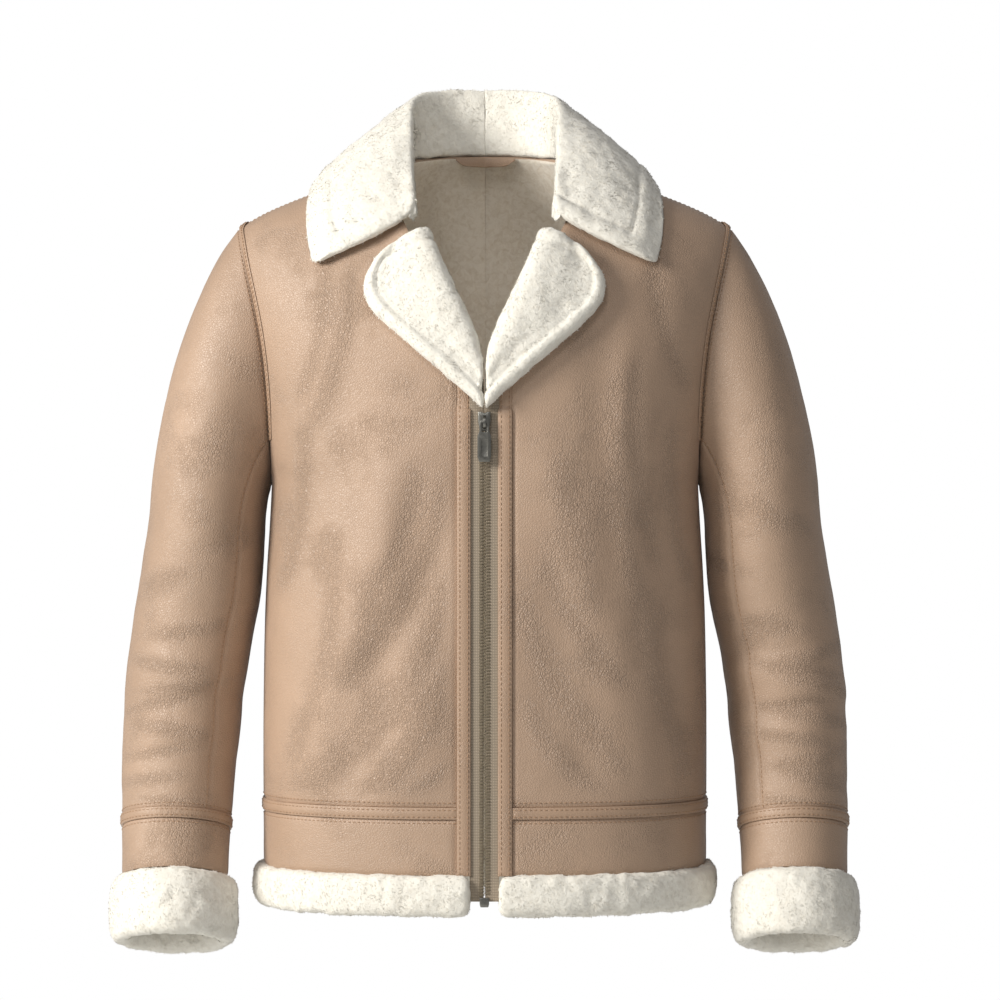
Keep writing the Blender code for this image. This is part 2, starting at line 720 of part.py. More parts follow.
def upright(name, x_low, x_high, levels, rise, thick, finish):
    """Flat upright piece that follows the front of the body, flush where a lapel lies on it."""
    outer = np.zeros((len(levels), 3, 3))
    inner = np.zeros((len(levels), 3, 3))
    for i, z in enumerate(levels):
        out_by = rise if z <= LAPEL_FOOT else min(rise, 0.0)
        for j, x in enumerate((x_low, (x_low + x_high) / 2, x_high)):
            outer[i, j] = front_column(x, z, out_by)
            inner[i, j] = front_column(x, z, rise - thick)
    return wall(name, outer, inner, finish)


def levels_between(low, high, count):
    return [low + (high - low) * i / count for i in range(count + 1)]


for side in (1, -1):
    tag = NAMES[side]
    levels = levels_between(BAND_BOTTOM, LAPEL_FOOT, 12) + [LAPEL_FOOT + 0.002, STRIP_TOP]
    upright(f"front_strip_{tag}", side * STRIP_IN, side * (STRIP_OUT - SEAM / 2), levels,
            STRIP_RAISE, WALL + STRIP_RAISE, "leather_strap")
    levels = levels_between(TAPE_BOTTOM, LAPEL_FOOT, 12) + [STRIP_TOP]
    upright(f"zip_tape_{tag}", side * (CHAIN_HALF + SEAM), side * (STRIP_IN - SEAM), levels,
            -TAPE_SINK, TAPE_THICK, "zip_tape")
upright("zip_chain", -CHAIN_HALF, CHAIN_HALF, levels_between(TAPE_BOTTOM + 0.004, LAPEL_FOOT, 13),
        CHAIN_PROUD, CHAIN_THICK, "zip_metal")


# Collar and lapels

def push_out(point, gap):
    """Moves a point outwards until it clears the body by the gap."""
    p = np.array(point, float)
    turn = -1 if p[1] < 0 else 1
    for _ in range(80):
        y_in, z_in = abs(p[1]) - gap * 0.7, p[2] - gap * 0.7
        if z_in >= roof(p[0])[0] or y_in >= depth_at(p[0], z_in, turn < 0):
            return p
        p += np.array((0, turn * 0.00035, 0.00035))
    return p


def collar_middle(share):
    """Middle line of a collar section: up the stand, over the roll and down the fall."""
    values = along(COLLAR, share)
    neck, roll, mid, edge = (values[k:k + 3] for k in (0, 3, 6, 9))
    fall = unit(mid - roll)
    rise = unit(roll - neck)
    high = np.linalg.norm(roll - neck)
    points = [neck, neck + rise * high * 0.35, neck + rise * high * 0.72]
    lift = unit(rise * 0.75 - fall * 0.25 + UP * 0.35)
    points.append(roll + lift * 0.0005)
    for u in (0.14, 0.3, 0.5, 0.7, 0.86, 1.0):
        a = roll * (1 - u) + mid * u
        b = mid * (1 - u) + edge * u
        points.append(a * (1 - u) + b * u + lift * 0.004 * (1 - u) * u * 4)
    return points


def clear_of_body(point, place):
    """Keeps the fall above the body, and the stand off the edge of the panels."""
    if place > 2 or (point[1] < 0.004 and point[0] > linear(FRONT_EDGE, point[2]) - COLLAR_LIFT):
        return push_out(point, COLLAR_LIFT)
    return point


COLLAR_LIFT = 0.0042
COLLAR_HALF = (0.0040, 0.0046, 0.0052, 0.0058, 0.0062, 0.0064, 0.0064, 0.0064, 0.0060, 0.0030)
COLLAR_STEPS = 13


def collar(side):
    lines = []
    for i in range(COLLAR_STEPS + 1):
        share = i / COLLAR_STEPS
        line = np.array(collar_middle(share))
        lines.append(line)
    grid = np.array(lines)
    norms = normals_of(grid, 1)
    if norms[2, 8][2] < 0:
        norms = -norms
    sections = []
    for i in range(COLLAR_STEPS + 1):
        half = np.array(COLLAR_HALF)[:, None]
        top = [clear_of_body(p, k) for k, p in enumerate(grid[i] + norms[i] * half)]
        under = [clear_of_body(p, k) for k, p in enumerate(grid[i] - norms[i] * half)]
        nose = push_out(grid[i, -1] + unit(grid[i, -1] - grid[i, -2]) * 0.0050, COLLAR_LIFT)
        ring = list(top) + [nose] + list(under[::-1])
        ring = [np.array((side * max(p[0], SEAM), p[1], p[2])) for p in ring]
        sections.append(ring)
    sweep(f"collar_{NAMES[side]}", sections, "wool")


def lapel_point(start, end, along_by, rise):
    """Point over the chest on the line from the roll to the edge, raised from the body."""
    way = unit(end - start)
    x, z = start + way * along_by
    x_safe = max(x, 0.0)
    step = 0.002
    slope_x = (depth_at(x_safe + step, z, True) - depth_at(x_safe, z, True)) / step
    slope_z = (depth_at(x_safe, z + step, True) - depth_at(x_safe, z, True)) / step
    out = unit(np.array((-slope_x, -1.0, -slope_z)))
    return np.array((x, -depth_at(x_safe, z, True), z)) + out * rise


def lapel(side):
    sections = []
    steps = 12
    for i in range(steps + 1):
        values = along(LAPEL, i / steps)
        start, end = values[:2], values[2:]
        span = np.linalg.norm(end - start)
        outline = (
            (0.0125, -0.0055), (0.0060, -0.0065), (0.0012, -0.0025), (0.0000, 0.0035), (0.0025, 0.0095),
            (0.0100, 0.0135), (0.30 * span + 0.004, 0.0145), (span - 0.020, 0.0128), (span - 0.009, 0.0145),
            (span - 0.002, 0.0110), (span, 0.0060), (span - 0.003, 0.0022), (span - 0.012, 0.0014),
            (0.60 * span, 0.0012), (0.35 * span + 0.006, 0.0012), (0.0140, 0.0012),
        )
        ring = [lapel_point(start, end, s, n) for s, n in outline]
        sections.append([np.array((side * max(p[0], 2 * SEAM), p[1], p[2])) for p in ring])
    sweep(f"lapel_{NAMES[side]}", sections, "wool")


for side in (1, -1):
    collar(side)
    lapel(side)


# Sleeves

def turn_columns(grid, first, last):
    """Columns of a closed grid from the first to the last, going round past the start."""
    picked = []
    k = first
    while True:
        picked.append(grid[:, k % AROUND])
        if k % AROUND == last:
            break
        k += 1
    return np.stack(picked, axis=1)


def sleeve_ring(name, levels, side, rise, thick, finish):
    """Closed band round the sleeve."""
    sections = []
    for k in range(AROUND):
        angle = 2 * pi * k / AROUND
        outer = [ring_point(level, angle, side, rise) for level in levels]
        inner = [ring_point(level, angle, side, rise - thick) for level in levels]
        sections.append(outer + inner[::-1])
    sweep(name, sections, finish, closed=True)


for side in (1, -1):
    tag = NAMES[side]
    grid, norms = sleeve_grid(side)
    for name, first, last in ((f"sleeve_top_{tag}", TOP_START, TOP_END), (f"sleeve_under_{tag}", TOP_END, TOP_START)):
        panel(name, turn_columns(grid, first, last), turn_columns(norms, first, last), "tio", "leather", by=SLEEVE_SEAM)
    sleeve_ring(f"sleeve_strap_{tag}", (SLEEVE_STRAP[0] - SEAM, SLEEVE_STRAP[1]), side, STRAP_RAISE,
                WALL + STRAP_RAISE, "leather_strap")
    sleeve_ring(f"sleeve_band_{tag}", (SLEEVE_STRAP[1] - SEAM, SLEEVE_BAND_MIDDLE, SLEEVE_BAND_END), side, 0.0, WALL, "leather")
    sections = []
    for k in range(AROUND):
        angle = 2 * pi * k / AROUND
        middle, half = (CUFF_FUR[0] + CUFF_FUR[1]) / 2, (CUFF_FUR[0] - CUFF_FUR[1]) / 2
        sections.append([ring_point(middle + half * rise, angle, side, across)
                         for across, rise in roll_shape(CUFF_PILE)])
    sweep(f"cuff_fur_{tag}", sections, "wool", closed=True)


# Raised straps beside the armholes, laid on the body panels

STRAP_START = 3          # rows above the armpit where the strap begins
STRAP_SET = 0.0007
STRAP_LIFT = 0.0010
STRAP_THICK = 0.0018


def armhole_strap(side):
    fore, fore_n, aft, aft_n = BODY_GRIDS[side]
    top = fore.shape[0] - 1
    stops = [(fore, fore_n, i) for i in range(LOW_ROWS + STRAP_START, top)]
    stops += [(fore, fore_n, top)]
    stops += [(aft, aft_n, i) for i in range(top - 1, LOW_ROWS + STRAP_START - 1, -1)]
    sections = []
    for grid, norms, i in stops:
        away, away_n = grid[i, -2], norms[i, -2]
        near = grid[i, -1] + unit(away - grid[i, -1]) * STRAP_SET
        near_n = norms[i, -1]
        sections.append([near + near_n * STRAP_LIFT, away + away_n * STRAP_LIFT,
                         away + away_n * (STRAP_LIFT + STRAP_THICK), near + near_n * (STRAP_LIFT + STRAP_THICK)])
    sweep(f"armhole_strap_{NAMES[side]}", sections, "leather_strap")


for side in (1, -1):
    armhole_strap(side)


# Hanger loop inside the back neck

LOOP_HALF = 0.0275
LOOP_BACK = 0.0086       # from the outside of the back to the middle of the loop
LOOP_THIN = 0.0011
loop_sections = []
for k in range(9):
    t = -1 + 2 * k / 8
    x = LOOP_HALF * t
    bow = 1 - t * t
    z = 0.0035 + 0.0010 * bow
    half = 0.0050 - 0.0008 * abs(t)
    y = depth_at(x, z + half, False) - LOOP_BACK
    loop_sections.append([np.array((x, y + a * LOOP_THIN, z + b * half))
                          for a, b in ((-1, -1), (1, -1), (1, 1), (-1, 1))])
sweep("hanger_loop", loop_sections, "leather_strap")


# Zip slider with its hinged pull

CHEST_Y = -depth_at(0.0, -0.245, True)
SLIDER_TOP = -0.2345
PIVOT_Z = -0.2440


def ring_xz(x, y, z, wide, tall):
    """Rounded oblong section at a depth y."""
    ring = []
    for k in range(12):
        a = 2 * pi * (k + 0.5) / 12
        ring.append(np.array((x + np.sign(cos(a)) * abs(cos(a)) ** 0.6 * wide, y,
                              z + np.sign(sin(a)) * abs(sin(a)) ** 0.6 * tall)))
    return ring


BAR_HALF = 0.0011        # bar of the pull inside the bridge of the slider
PULL_HALF = 0.0010
BRIDGE_HALF = 0.0012


def cut_or_join(thing, tool, kind):
    """Joins the tool to the thing or cuts it out, and removes the tool."""
    step = thing.modifiers.new("shape", "BOOLEAN")
    step.operation = kind
    step.solver = "EXACT"
    step.object = tool
    bpy.ops.object.select_all(action="DESELECT")
    thing.select_set(True)
    bpy.context.view_layer.objects.active = thing
    bpy.ops.object.modifier_apply(modifier=step.name)
    bpy.data.objects.remove(tool, do_unlink=True)


slider = sweep("zip_slider", [
    ring_xz(0, CHEST_Y - 0.0012, SLIDER_TOP - 0.0090, 0.0058, 0.0088),
    ring_xz(0, CHEST_Y - 0.0036, SLIDER_TOP - 0.0090, 0.0056, 0.0086),
    ring_xz(0, CHEST_Y - 0.0044, SLIDER_TOP - 0.0090, 0.0046, 0.0076),
], "zip_metal")
# Bridge of the slider: forward, z and half thickness along the arch
arch = []
for forward, z, thin_y, thin_z in (
    (0.0030, -0.2384, 0.0000, 0.0008), (0.0064, -0.2386, 0.0000, 0.0008), (0.0085, -0.2408, 0.0006, 0.0004),
    (0.0088, -0.2448, 0.0007, -0.0001), (0.0076, -0.2486, 0.0005, -0.0005), (0.0030, -0.2500, 0.0001, -0.0008),
):
    y = CHEST_Y - forward
    arch.append([np.array((BRIDGE_HALF * a, y + thin_y * b, z - thin_z * b))
                 for a, b in ((-1, -1), (1, -1), (1, 1), (-1, 1))])
cut_or_join(slider, sweep("bridge", arch, "zip_metal"), "UNION")

PULL_Y = CHEST_Y - 0.0062
# Outline of the pull: drop below its axis, half width
PULL_OUTLINE = ((-0.0011, 0.0036), (0.0020, 0.0044), (0.0090, 0.0044), (0.0130, 0.0056), (0.0330, 0.0060),
                (0.0352, 0.0046))
plate = []
for drop, half in PULL_OUTLINE:
    plate.append([np.array((half * a, PULL_Y + PULL_HALF * b, PIVOT_Z - drop))
                  for a, b in ((-1, -1), (1, -1), (1, 1), (-1, 1))])
pull = sweep("zip_pull", plate, "zip_metal")
window = [[np.array((0.0023 * a, PULL_Y + 0.004 * b, PIVOT_Z - drop))
           for a, b in ((-1, -1), (1, -1), (1, 1), (-1, 1))] for drop in (BAR_HALF, 0.0088)]
cut_or_join(pull, sweep("window", window, "zip_metal"), "DIFFERENCE")
# The pull turns about its bar
for vert in pull.data.vertices:
    vert.co.y -= PULL_Y
    vert.co.z -= PIVOT_Z
pull.location = (0, PULL_Y, PIVOT_Z)

# Box at the foot of the zip
foot = -depth_at(0.0, TAPE_BOTTOM, True)
sweep("zip_box", [
    ring_xz(0, foot + 0.0010, TAPE_BOTTOM - 0.0006, 0.0042, 0.0042),
    ring_xz(0, foot - 0.0022, TAPE_BOTTOM - 0.0006, 0.0040, 0.0040),
], "zip_metal")
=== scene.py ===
# Shearling leather jacket, dressed. Metres, +Z up, the front faces -Y, +X is the wearer's left.
from math import cos, pi, sin, sqrt

import bpy
import numpy as np
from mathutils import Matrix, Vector


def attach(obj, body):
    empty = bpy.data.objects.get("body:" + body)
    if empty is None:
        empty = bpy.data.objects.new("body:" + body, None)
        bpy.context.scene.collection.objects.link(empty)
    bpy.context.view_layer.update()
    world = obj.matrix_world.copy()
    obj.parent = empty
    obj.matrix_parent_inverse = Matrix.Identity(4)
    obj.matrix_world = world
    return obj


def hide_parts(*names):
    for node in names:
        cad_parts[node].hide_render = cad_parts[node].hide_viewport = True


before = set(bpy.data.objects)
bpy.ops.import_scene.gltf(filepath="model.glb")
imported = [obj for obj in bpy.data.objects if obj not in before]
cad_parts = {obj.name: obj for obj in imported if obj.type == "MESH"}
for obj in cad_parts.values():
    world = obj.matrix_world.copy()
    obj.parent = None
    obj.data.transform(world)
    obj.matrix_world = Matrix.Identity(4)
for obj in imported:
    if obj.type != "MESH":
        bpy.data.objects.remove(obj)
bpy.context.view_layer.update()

bl_info = {
    "name": "Shearling Jacket",
    "version": (1, 0, 0),
    "blender": (4, 5, 0),
    "location": "3D View > Sidebar > Jacket",
    "description": "Dresses a shearling jacket: grained leather panels, wool pile, stitching and zip",
    "category": "Object",
}

# Driving sizes
SEAM = 0.0003            # space between neighbouring pieces
WALL = 0.005             # leather with its clipped pile
SECTION_POWER = 2.4      # squareness of the body in plan
DRAPE_TOP = -0.145       # no folds above this height
EDGE_TURN = -0.190       # height at which the front edge leaves the zip for the lapel
ARMPIT_Z = -0.300
NECK_X = 0.075           # high point of the shoulder seam
TIP_X = 0.226            # outer end of the shoulder seam
STRAP_TOP = -0.585
STRAP_BOTTOM = -0.5955
BAND_BOTTOM = -0.6455
HEM_FUR_TOP = -0.6462
HEM_FUR_BOTTOM = -0.6805
STRIP_IN = 0.0121        # edges of the raised strip beside the zip
STRIP_OUT = 0.0245
STRIP_RAISE = 0.0022
LAPEL_FOOT = -0.2335
STRIP_TOP = -0.206       # the strips run on under the lapels
TAPE_BOTTOM = -0.668
TAPE_SINK = 0.0004       # the tape lies this far under the face of the leather
TAPE_THICK = 0.0016
STRAP_RAISE = 0.0016
BAND_MIDDLE = -0.620
SLEEVE_STRAP = (-0.602, -0.612)
SLEEVE_BAND_MIDDLE = -0.634
SLEEVE_BAND_END = -0.6560
CUFF_FUR = (-0.6568, -0.7140)

# Reach of the pile outwards and inwards from the face of the leather, and the shape of its roll
HEM_PILE = (0.0100, 0.0125)
CUFF_PILE = (0.0105, 0.0120)
ROLL_SIDES = 12
ROLL_POWER = 0.75

# Grid counts
FRONT_COLS = 10
NECK_COLS = 3
BACK_COLS = FRONT_COLS + NECK_COLS
LOW_ROWS = 8
HIGH_ROWS = 11
LAST_COLUMN = 0.055      # share of a panel that its outermost column takes

# z, half width, front half depth, back half depth
BODY = (
    (-0.700, 0.2030, 0.1300, 0.1220),
    (-0.600, 0.2035, 0.1310, 0.1200),
    (-0.500, 0.2035, 0.1320, 0.1180),
    (-0.400, 0.2015, 0.1325, 0.1200),
    (-0.300, 0.1960, 0.1325, 0.1230),
    (-0.285, 0.1975, 0.1325, 0.1230),
    (-0.239, 0.2050, 0.1320, 0.1230),
    (-0.193, 0.2135, 0.1310, 0.1220),
    (-0.152, 0.2230, 0.1290, 0.1200),
    (-0.106, 0.2350, 0.1270, 0.1180),
    (-0.062, 0.2450, 0.1250, 0.1170),
    (0.050, 0.2500, 0.1220, 0.1150),
)

# x, height of the shoulder line, drop over which the front and the back round in
ROOF = (
    (0.000, 0.0380, 0.205, 0.140),
    (0.040, 0.0290, 0.205, 0.140),
    (0.060, 0.0150, 0.205, 0.140),
    (0.075, 0.0000, 0.200, 0.140),
    (0.100, -0.0090, 0.190, 0.135),
    (0.150, -0.0270, 0.165, 0.130),
    (0.200, -0.0472, 0.140, 0.120),
    (0.226, -0.0620, 0.130, 0.115),
    (0.260, -0.0850, 0.125, 0.110),
)

# z, x of the armhole
ARMHOLE = (
    (-0.300, 0.1960),
    (-0.285, 0.1960),
    (-0.239, 0.1965),
    (-0.193, 0.1998),
    (-0.152, 0.2054),
    (-0.106, 0.2162),
    (-0.062, 0.2260),
)

# z, x of the edge of the front panel: beside the strip, along the lapel, then the neck
FRONT_EDGE = (
    (-0.700, 0.0245),
    (-0.190, 0.0245),
    (-0.160, 0.0310),
    (-0.130, 0.0440),
    (-0.100, 0.0575),
    (-0.064, 0.0730),
    (-0.040, 0.0780),
    (-0.015, 0.0780),
    (0.000, 0.0750),
)

# x, z of the back neckline
BACK_NECK = (
    (0.000, 0.0110),
    (0.040, 0.0098),
    (0.060, 0.0053),
    (0.075, 0.0000),
)

# Folds of the fronts in front view: x, z of one end, x, z of the other, half width, height
FOLDS = {
    1: (
        (0.070, -0.300, 0.150, -0.560, 0.022, 0.0040),
        (0.040, -0.400, 0.090, -0.560, 0.020, -0.0030),
        (0.128, -0.160, 0.140, -0.340, 0.016, 0.0026),
        (0.100, -0.180, 0.105, -0.320, 0.014, -0.0022),
        (0.150, -0.330, 0.172, -0.500, 0.016, -0.0024),
    ),
    -1: (
        (0.080, -0.300, 0.158, -0.545, 0.024, 0.0062),
        (0.042, -0.330, 0.092, -0.500, 0.018, -0.0040),
        (0.036, -0.420, 0.082, -0.575, 0.020, 0.0050),
        (0.110, -0.470, 0.130, -0.580, 0.018, -0.0030),
        (0.110, -0.150, 0.135, -0.300, 0.018, -0.0026),
        (0.160, -0.320, 0.176, -0.480, 0.014, -0.0024),
    ),
}

# Folds of the back, both sides alike but for the last column:
# x, z, x, z, half width, height, share on the right
BACK_FOLDS = (
    (0.050, -0.300, 0.110, -0.520, 0.024, 0.0040, 0.7),
    (0.120, -0.220, 0.150, -0.400, 0.020, -0.0030, 1.1),
    (0.030, -0.430, 0.060, -0.570, 0.020, -0.0030, 0.8),
    (0.165, -0.340, 0.150, -0.520, 0.016, 0.0026, 1.2),
)

# Sleeve axis: drop below the shoulders, x, half width across, y, half width fore and aft
SLEEVE = (
    (0.335, 0.2560, 0.0535, 0.0000, 0.0730),
    (0.386, 0.2614, 0.0560, 0.0020, 0.0700),
    (0.423, 0.2677, 0.0556, 0.0020, 0.0670),
    (0.460, 0.2735, 0.0550, 0.0000, 0.0645),
    (0.497, 0.2772, 0.0538, -0.0035, 0.0615),
    (0.534, 0.2795, 0.0527, -0.0085, 0.0590),
    (0.570, 0.2812, 0.0512, -0.0150, 0.0565),
    (0.607, 0.2820, 0.0498, -0.0240, 0.0545),
    (0.644, 0.2822, 0.0482, -0.0345, 0.0525),
    (0.720, 0.2822, 0.0478, -0.0580, 0.0515),
)

# Creases round the sleeve: z, middle angle from the outside (90 is the front), spread, half height, rise
SLEEVE_CREASES = {
    1: (
        (-0.455, 95, 60, 0.012, -0.0028),
        (-0.480, 70, 70, 0.012, 0.0030),
        (-0.505, 100, 60, 0.011, -0.0030),
        (-0.530, 80, 70, 0.012, 0.0022),
        (-0.560, 120, 50, 0.012, -0.0018),
        (-0.500, 270, 70, 0.016, 0.0026),
    ),
    -1: (
        (-0.440, 80, 60, 0.013, -0.0022),
        (-0.470, 90, 60, 0.013, 0.0026),
        (-0.500, 110, 60, 0.012, -0.0026),
        (-0.535, 80, 70, 0.014, 0.0020),
        (-0.560, 100, 60, 0.012, -0.0016),
        (-0.510, 265, 70, 0.016, 0.0026),
    ),
}

# Collar, from the centre back to the front end:
# share, neckline x y z, roll x y z, middle of the fall x y z, edge x y z
COLLAR = (
    (0.00, 0.0000, 0.0672, 0.0117, 0.0000, 0.0800, 0.0680, 0.0000, 0.1120, 0.0290, 0.0000, 0.1180, -0.0280),
    (0.16, 0.0330, 0.0610, 0.0112, 0.0340, 0.0730, 0.0675, 0.0500, 0.1050, 0.0270, 0.0560, 0.1120, -0.0320),
    (0.32, 0.0585, 0.0395, 0.0068, 0.0610, 0.0520, 0.0610, 0.0960, 0.0720, 0.0240, 0.1180, 0.0800, -0.0300),
    (0.48, 0.0690, 0.0050, 0.0030, 0.0690, 0.0200, 0.0480, 0.1080, 0.0220, 0.0200, 0.1530, 0.0240, -0.0220),
    (0.64, 0.0705, -0.0400, -0.0130, 0.0690, -0.0180, 0.0220,
     0.1100, -0.0270, 0.0060, 0.1570, -0.0260, -0.0360),
    (0.80, 0.0695, -0.0700, -0.0380, 0.0670, -0.0560, -0.0170,
     0.1070, -0.0740, -0.0320, 0.1570, -0.0680, -0.0680),
    (1.00, 0.0655, -0.0960, -0.0620, 0.0620, -0.0930, -0.0560,
     0.0960, -0.1080, -0.0860, 0.1490, -0.0960, -0.1010),
)

# Lapel in front view: share, roll line x z, outer edge x z
LAPEL = (
    (0.00, 0.0500, -0.0700, 0.0885, -0.0950),
    (0.14, 0.0440, -0.0835, 0.1010, -0.1100),
    (0.28, 0.0380, -0.0975, 0.1062, -0.1260),
    (0.42, 0.0315, -0.1120, 0.1000, -0.1440),
    (0.58, 0.0235, -0.1290, 0.0760, -0.1670),
    (0.74, 0.0150, -0.1470, 0.0500, -0.1890),
    (0.88, 0.0070, -0.1660, 0.0250, -0.2110),
    (1.00, 0.0010, -0.1860, 0.0016, -0.2320),
)


# Curves and the body surface

def along(rows, t):
    """Smooth curve through rows of (t, values), held at its ends."""
    ts = [row[0] for row in rows]
    vs = [np.array(row[1:], float) for row in rows]
    last = len(rows) - 1
    t = min(max(t, ts[0]), ts[-1])
    i = 0
    while i < last - 1 and t > ts[i + 1]:
        i += 1

    def slope(k):
        a, b = max(k - 1, 0), min(k + 1, last)
        return (vs[b] - vs[a]) / (ts[b] - ts[a])

    d = ts[i + 1] - ts[i]
    u = (t - ts[i]) / d
    return ((2 * u ** 3 - 3 * u ** 2 + 1) * vs[i] + (u ** 3 - 2 * u ** 2 + u) * d * slope(i)
            + (3 * u ** 2 - 2 * u ** 3) * vs[i + 1] + (u ** 3 - u ** 2) * d * slope(i + 1))


def linear(rows, t):
    """Straight lines through rows of (t, value)."""
    return float(np.interp(t, [row[0] for row in rows], [row[1] for row in rows]))


def roof(x):
    return along(ROOF, abs(x))


def fold_rise(x, z, folds):
    """Height of the drape folds at a point of the front view."""
    rise = 0.0
    for x0, z0, x1, z1, half, height in folds:
        dx, dz = x1 - x0, z1 - z0
        length = sqrt(dx * dx + dz * dz)
        s = ((x - x0) * dx + (z - z0) * dz) / length ** 2
        off = ((x - x0) * dz - (z - z0) * dx) / length
        beyond = max(0.0, -s, s - 1.0) * length
        rise += height * np.exp(-(off / half) ** 2 - (beyond / (1.6 * half)) ** 2)
    return rise


def drape(x, z, front, side):
    """Drape of the body, nothing at the straps, the side seams and the centre."""
    if front:
        folds = FOLDS[side]
    else:
        folds = [f[:5] + (f[5] * (1.0 if side > 0 else f[6]),) for f in BACK_FOLDS]
    calm_low = min(1.0, max(0.0, (z - STRAP_TOP) / 0.03))
    calm_high = min(1.0, max(0.0, (DRAPE_TOP - z) / 0.05))
    calm_side = min(1.0, max(0.0, (0.192 - x) / 0.03))
    calm_mid = min(1.0, max(0.0, (x - 0.024) / 0.02))
    return fold_rise(x, z, folds) * calm_low * calm_high * calm_side * calm_mid


def depth_at(x, z, front):
    """Distance of the body surface from the plane of the shoulder seams."""
    half, front_depth, back_depth = along(BODY, z)
    height, front_drop, back_drop = roof(x)
    inner = max(0.0, 1.0 - (abs(x) / half) ** SECTION_POWER) ** (1 / SECTION_POWER)
    t = (height - z) / (front_drop if front else back_drop)
    t = min(1.0, max(0.0, t))
    return (front_depth if front else back_depth) * inner * sqrt(1 - (1 - t) ** 2)


def angle_of(x, z):
    """Plan angle of a body point, 0 at the centre and 90 at the side."""
    half = along(BODY, z)[0]
    return np.arcsin(min(1.0, (x / half) ** (SECTION_POWER / 2)))


def body_at(angle, drop, level, front, side):
    """Body point at a plan angle, either at a level z or a drop below the shoulder line."""
    z = level if level is not None else -0.1
    for _ in range(14):
        x = along(BODY, z)[0] * sin(angle) ** (2 / SECTION_POWER)
        if level is not None:
            break
        z = roof(x)[0] - drop
    y = depth_at(x, z, front) + drape(x, z, front, side) * cos(angle)
    return np.array((side * x, -y if front else y, z))


def unit(v):
    return v / max(1e-12, np.linalg.norm(v))


def normals_of(grid, turn):
    """Outward normals of a grid of points."""
    rows, cols = grid.shape[:2]
    out = np.zeros_like(grid)
    for i in range(rows):
        for j in range(cols):
            down = grid[min(i + 1, rows - 1), j] - grid[max(i - 1, 0), j]
            over = grid[i, min(j + 1, cols - 1)] - grid[i, max(j - 1, 0)]
            out[i, j] = unit(np.cross(over, down)) * turn
    return out


def column_share(j, cols):
    """Share of the way across a panel; the last column keeps to the width of the armhole strap."""
    return (1 - LAST_COLUMN) * j / (cols - 1) if j < cols else 1.0


def row_place(i):
    """Level z for the low rows, else the share of the way from the armpit to the shoulder seam."""
    if i <= LOW_ROWS:
        return STRAP_TOP + (ARMPIT_Z - STRAP_TOP) * i / LOW_ROWS, None
    return None, (i - LOW_ROWS) / HIGH_ROWS


def body_grid(front, side):
    """Rows from the hem strap to the shoulder seam, columns from the centre to the side seam or armhole."""
    cols = FRONT_COLS if front else BACK_COLS
    grid = np.zeros((LOW_ROWS + HIGH_ROWS + 1, cols + 1, 3))
    for i in range(grid.shape[0]):
        level, share = row_place(i)
        if share is None:
            inner = angle_of(linear(FRONT_EDGE, level), level) if front else 0.0
            for j in range(cols + 1):
                share_j = column_share(j, cols)
                grid[i, j] = body_at(inner + (pi / 2 - inner) * share_j, None, level, front, side)
            continue
        climb = (1 - cos(pi * share)) / 2
        out_z = ARMPIT_Z + (ARMHOLE[-1][0] - ARMPIT_Z) * climb
        out_x = linear(ARMHOLE, out_z) if share < 1 else TIP_X
        outer = angle_of(out_x, out_z)
        for j in range(cols + 1):
            if front:
                in_z = ARMPIT_Z * (1 - climb)
                inner = angle_of(linear(FRONT_EDGE, in_z), in_z)
                angle = inner + (outer - inner) * column_share(j, cols)
                top_drop = 0.0
            else:
                angle, top_drop = back_column(j, share, outer)
            x_low = along(BODY, ARMPIT_Z)[0] * sin(angle) ** (2 / SECTION_POWER)
            start = roof(x_low)[0] - ARMPIT_Z
            grid[i, j] = body_at(angle, top_drop + (start - top_drop) * (1 - climb), None, front, side)
        if share < 1:
            edge_y = depth_at(out_x, out_z, front)
            grid[i, cols] = (side * out_x, -edge_y if front else edge_y, out_z)
    return grid


def back_column(j, share, outer):
    """Plan angle and drop at the top of a back column: the first columns end at the neckline."""
    even = outer * column_share(j, BACK_COLS)
    if j <= NECK_COLS:
        x_top = NECK_X * j / NECK_COLS
    else:
        x_top = NECK_X + (TIP_X - NECK_X) * column_share(j - NECK_COLS, FRONT_COLS)
    z_top = along(BACK_NECK, x_top)[0] if j < NECK_COLS else roof(x_top)[0]
    wanted = angle_of(x_top, z_top)
    drop = roof(x_top)[0] - z_top if j < NECK_COLS else 0.0
    blend = share * share * (3 - 2 * share)
    return even * (1 - blend) + wanted * blend, drop


def level_normals(grid):
    """Level outward normals of ring rows, square to the plan of the body."""
    out = np.zeros_like(grid)
    for i in range(grid.shape[0]):
        half, fore, aft = along(BODY, grid[i, 0, 2])
        for j in range(grid.shape[1]):
            x, y, _ = grid[i, j]
            deep = fore if y < 0 else aft
            out[i, j] = unit(np.array((np.sign(x) * (abs(x) / half) ** 1.4 / half,
                                       np.sign(y) * (abs(y) / deep) ** 1.4 / deep, 0.0)))
    return out


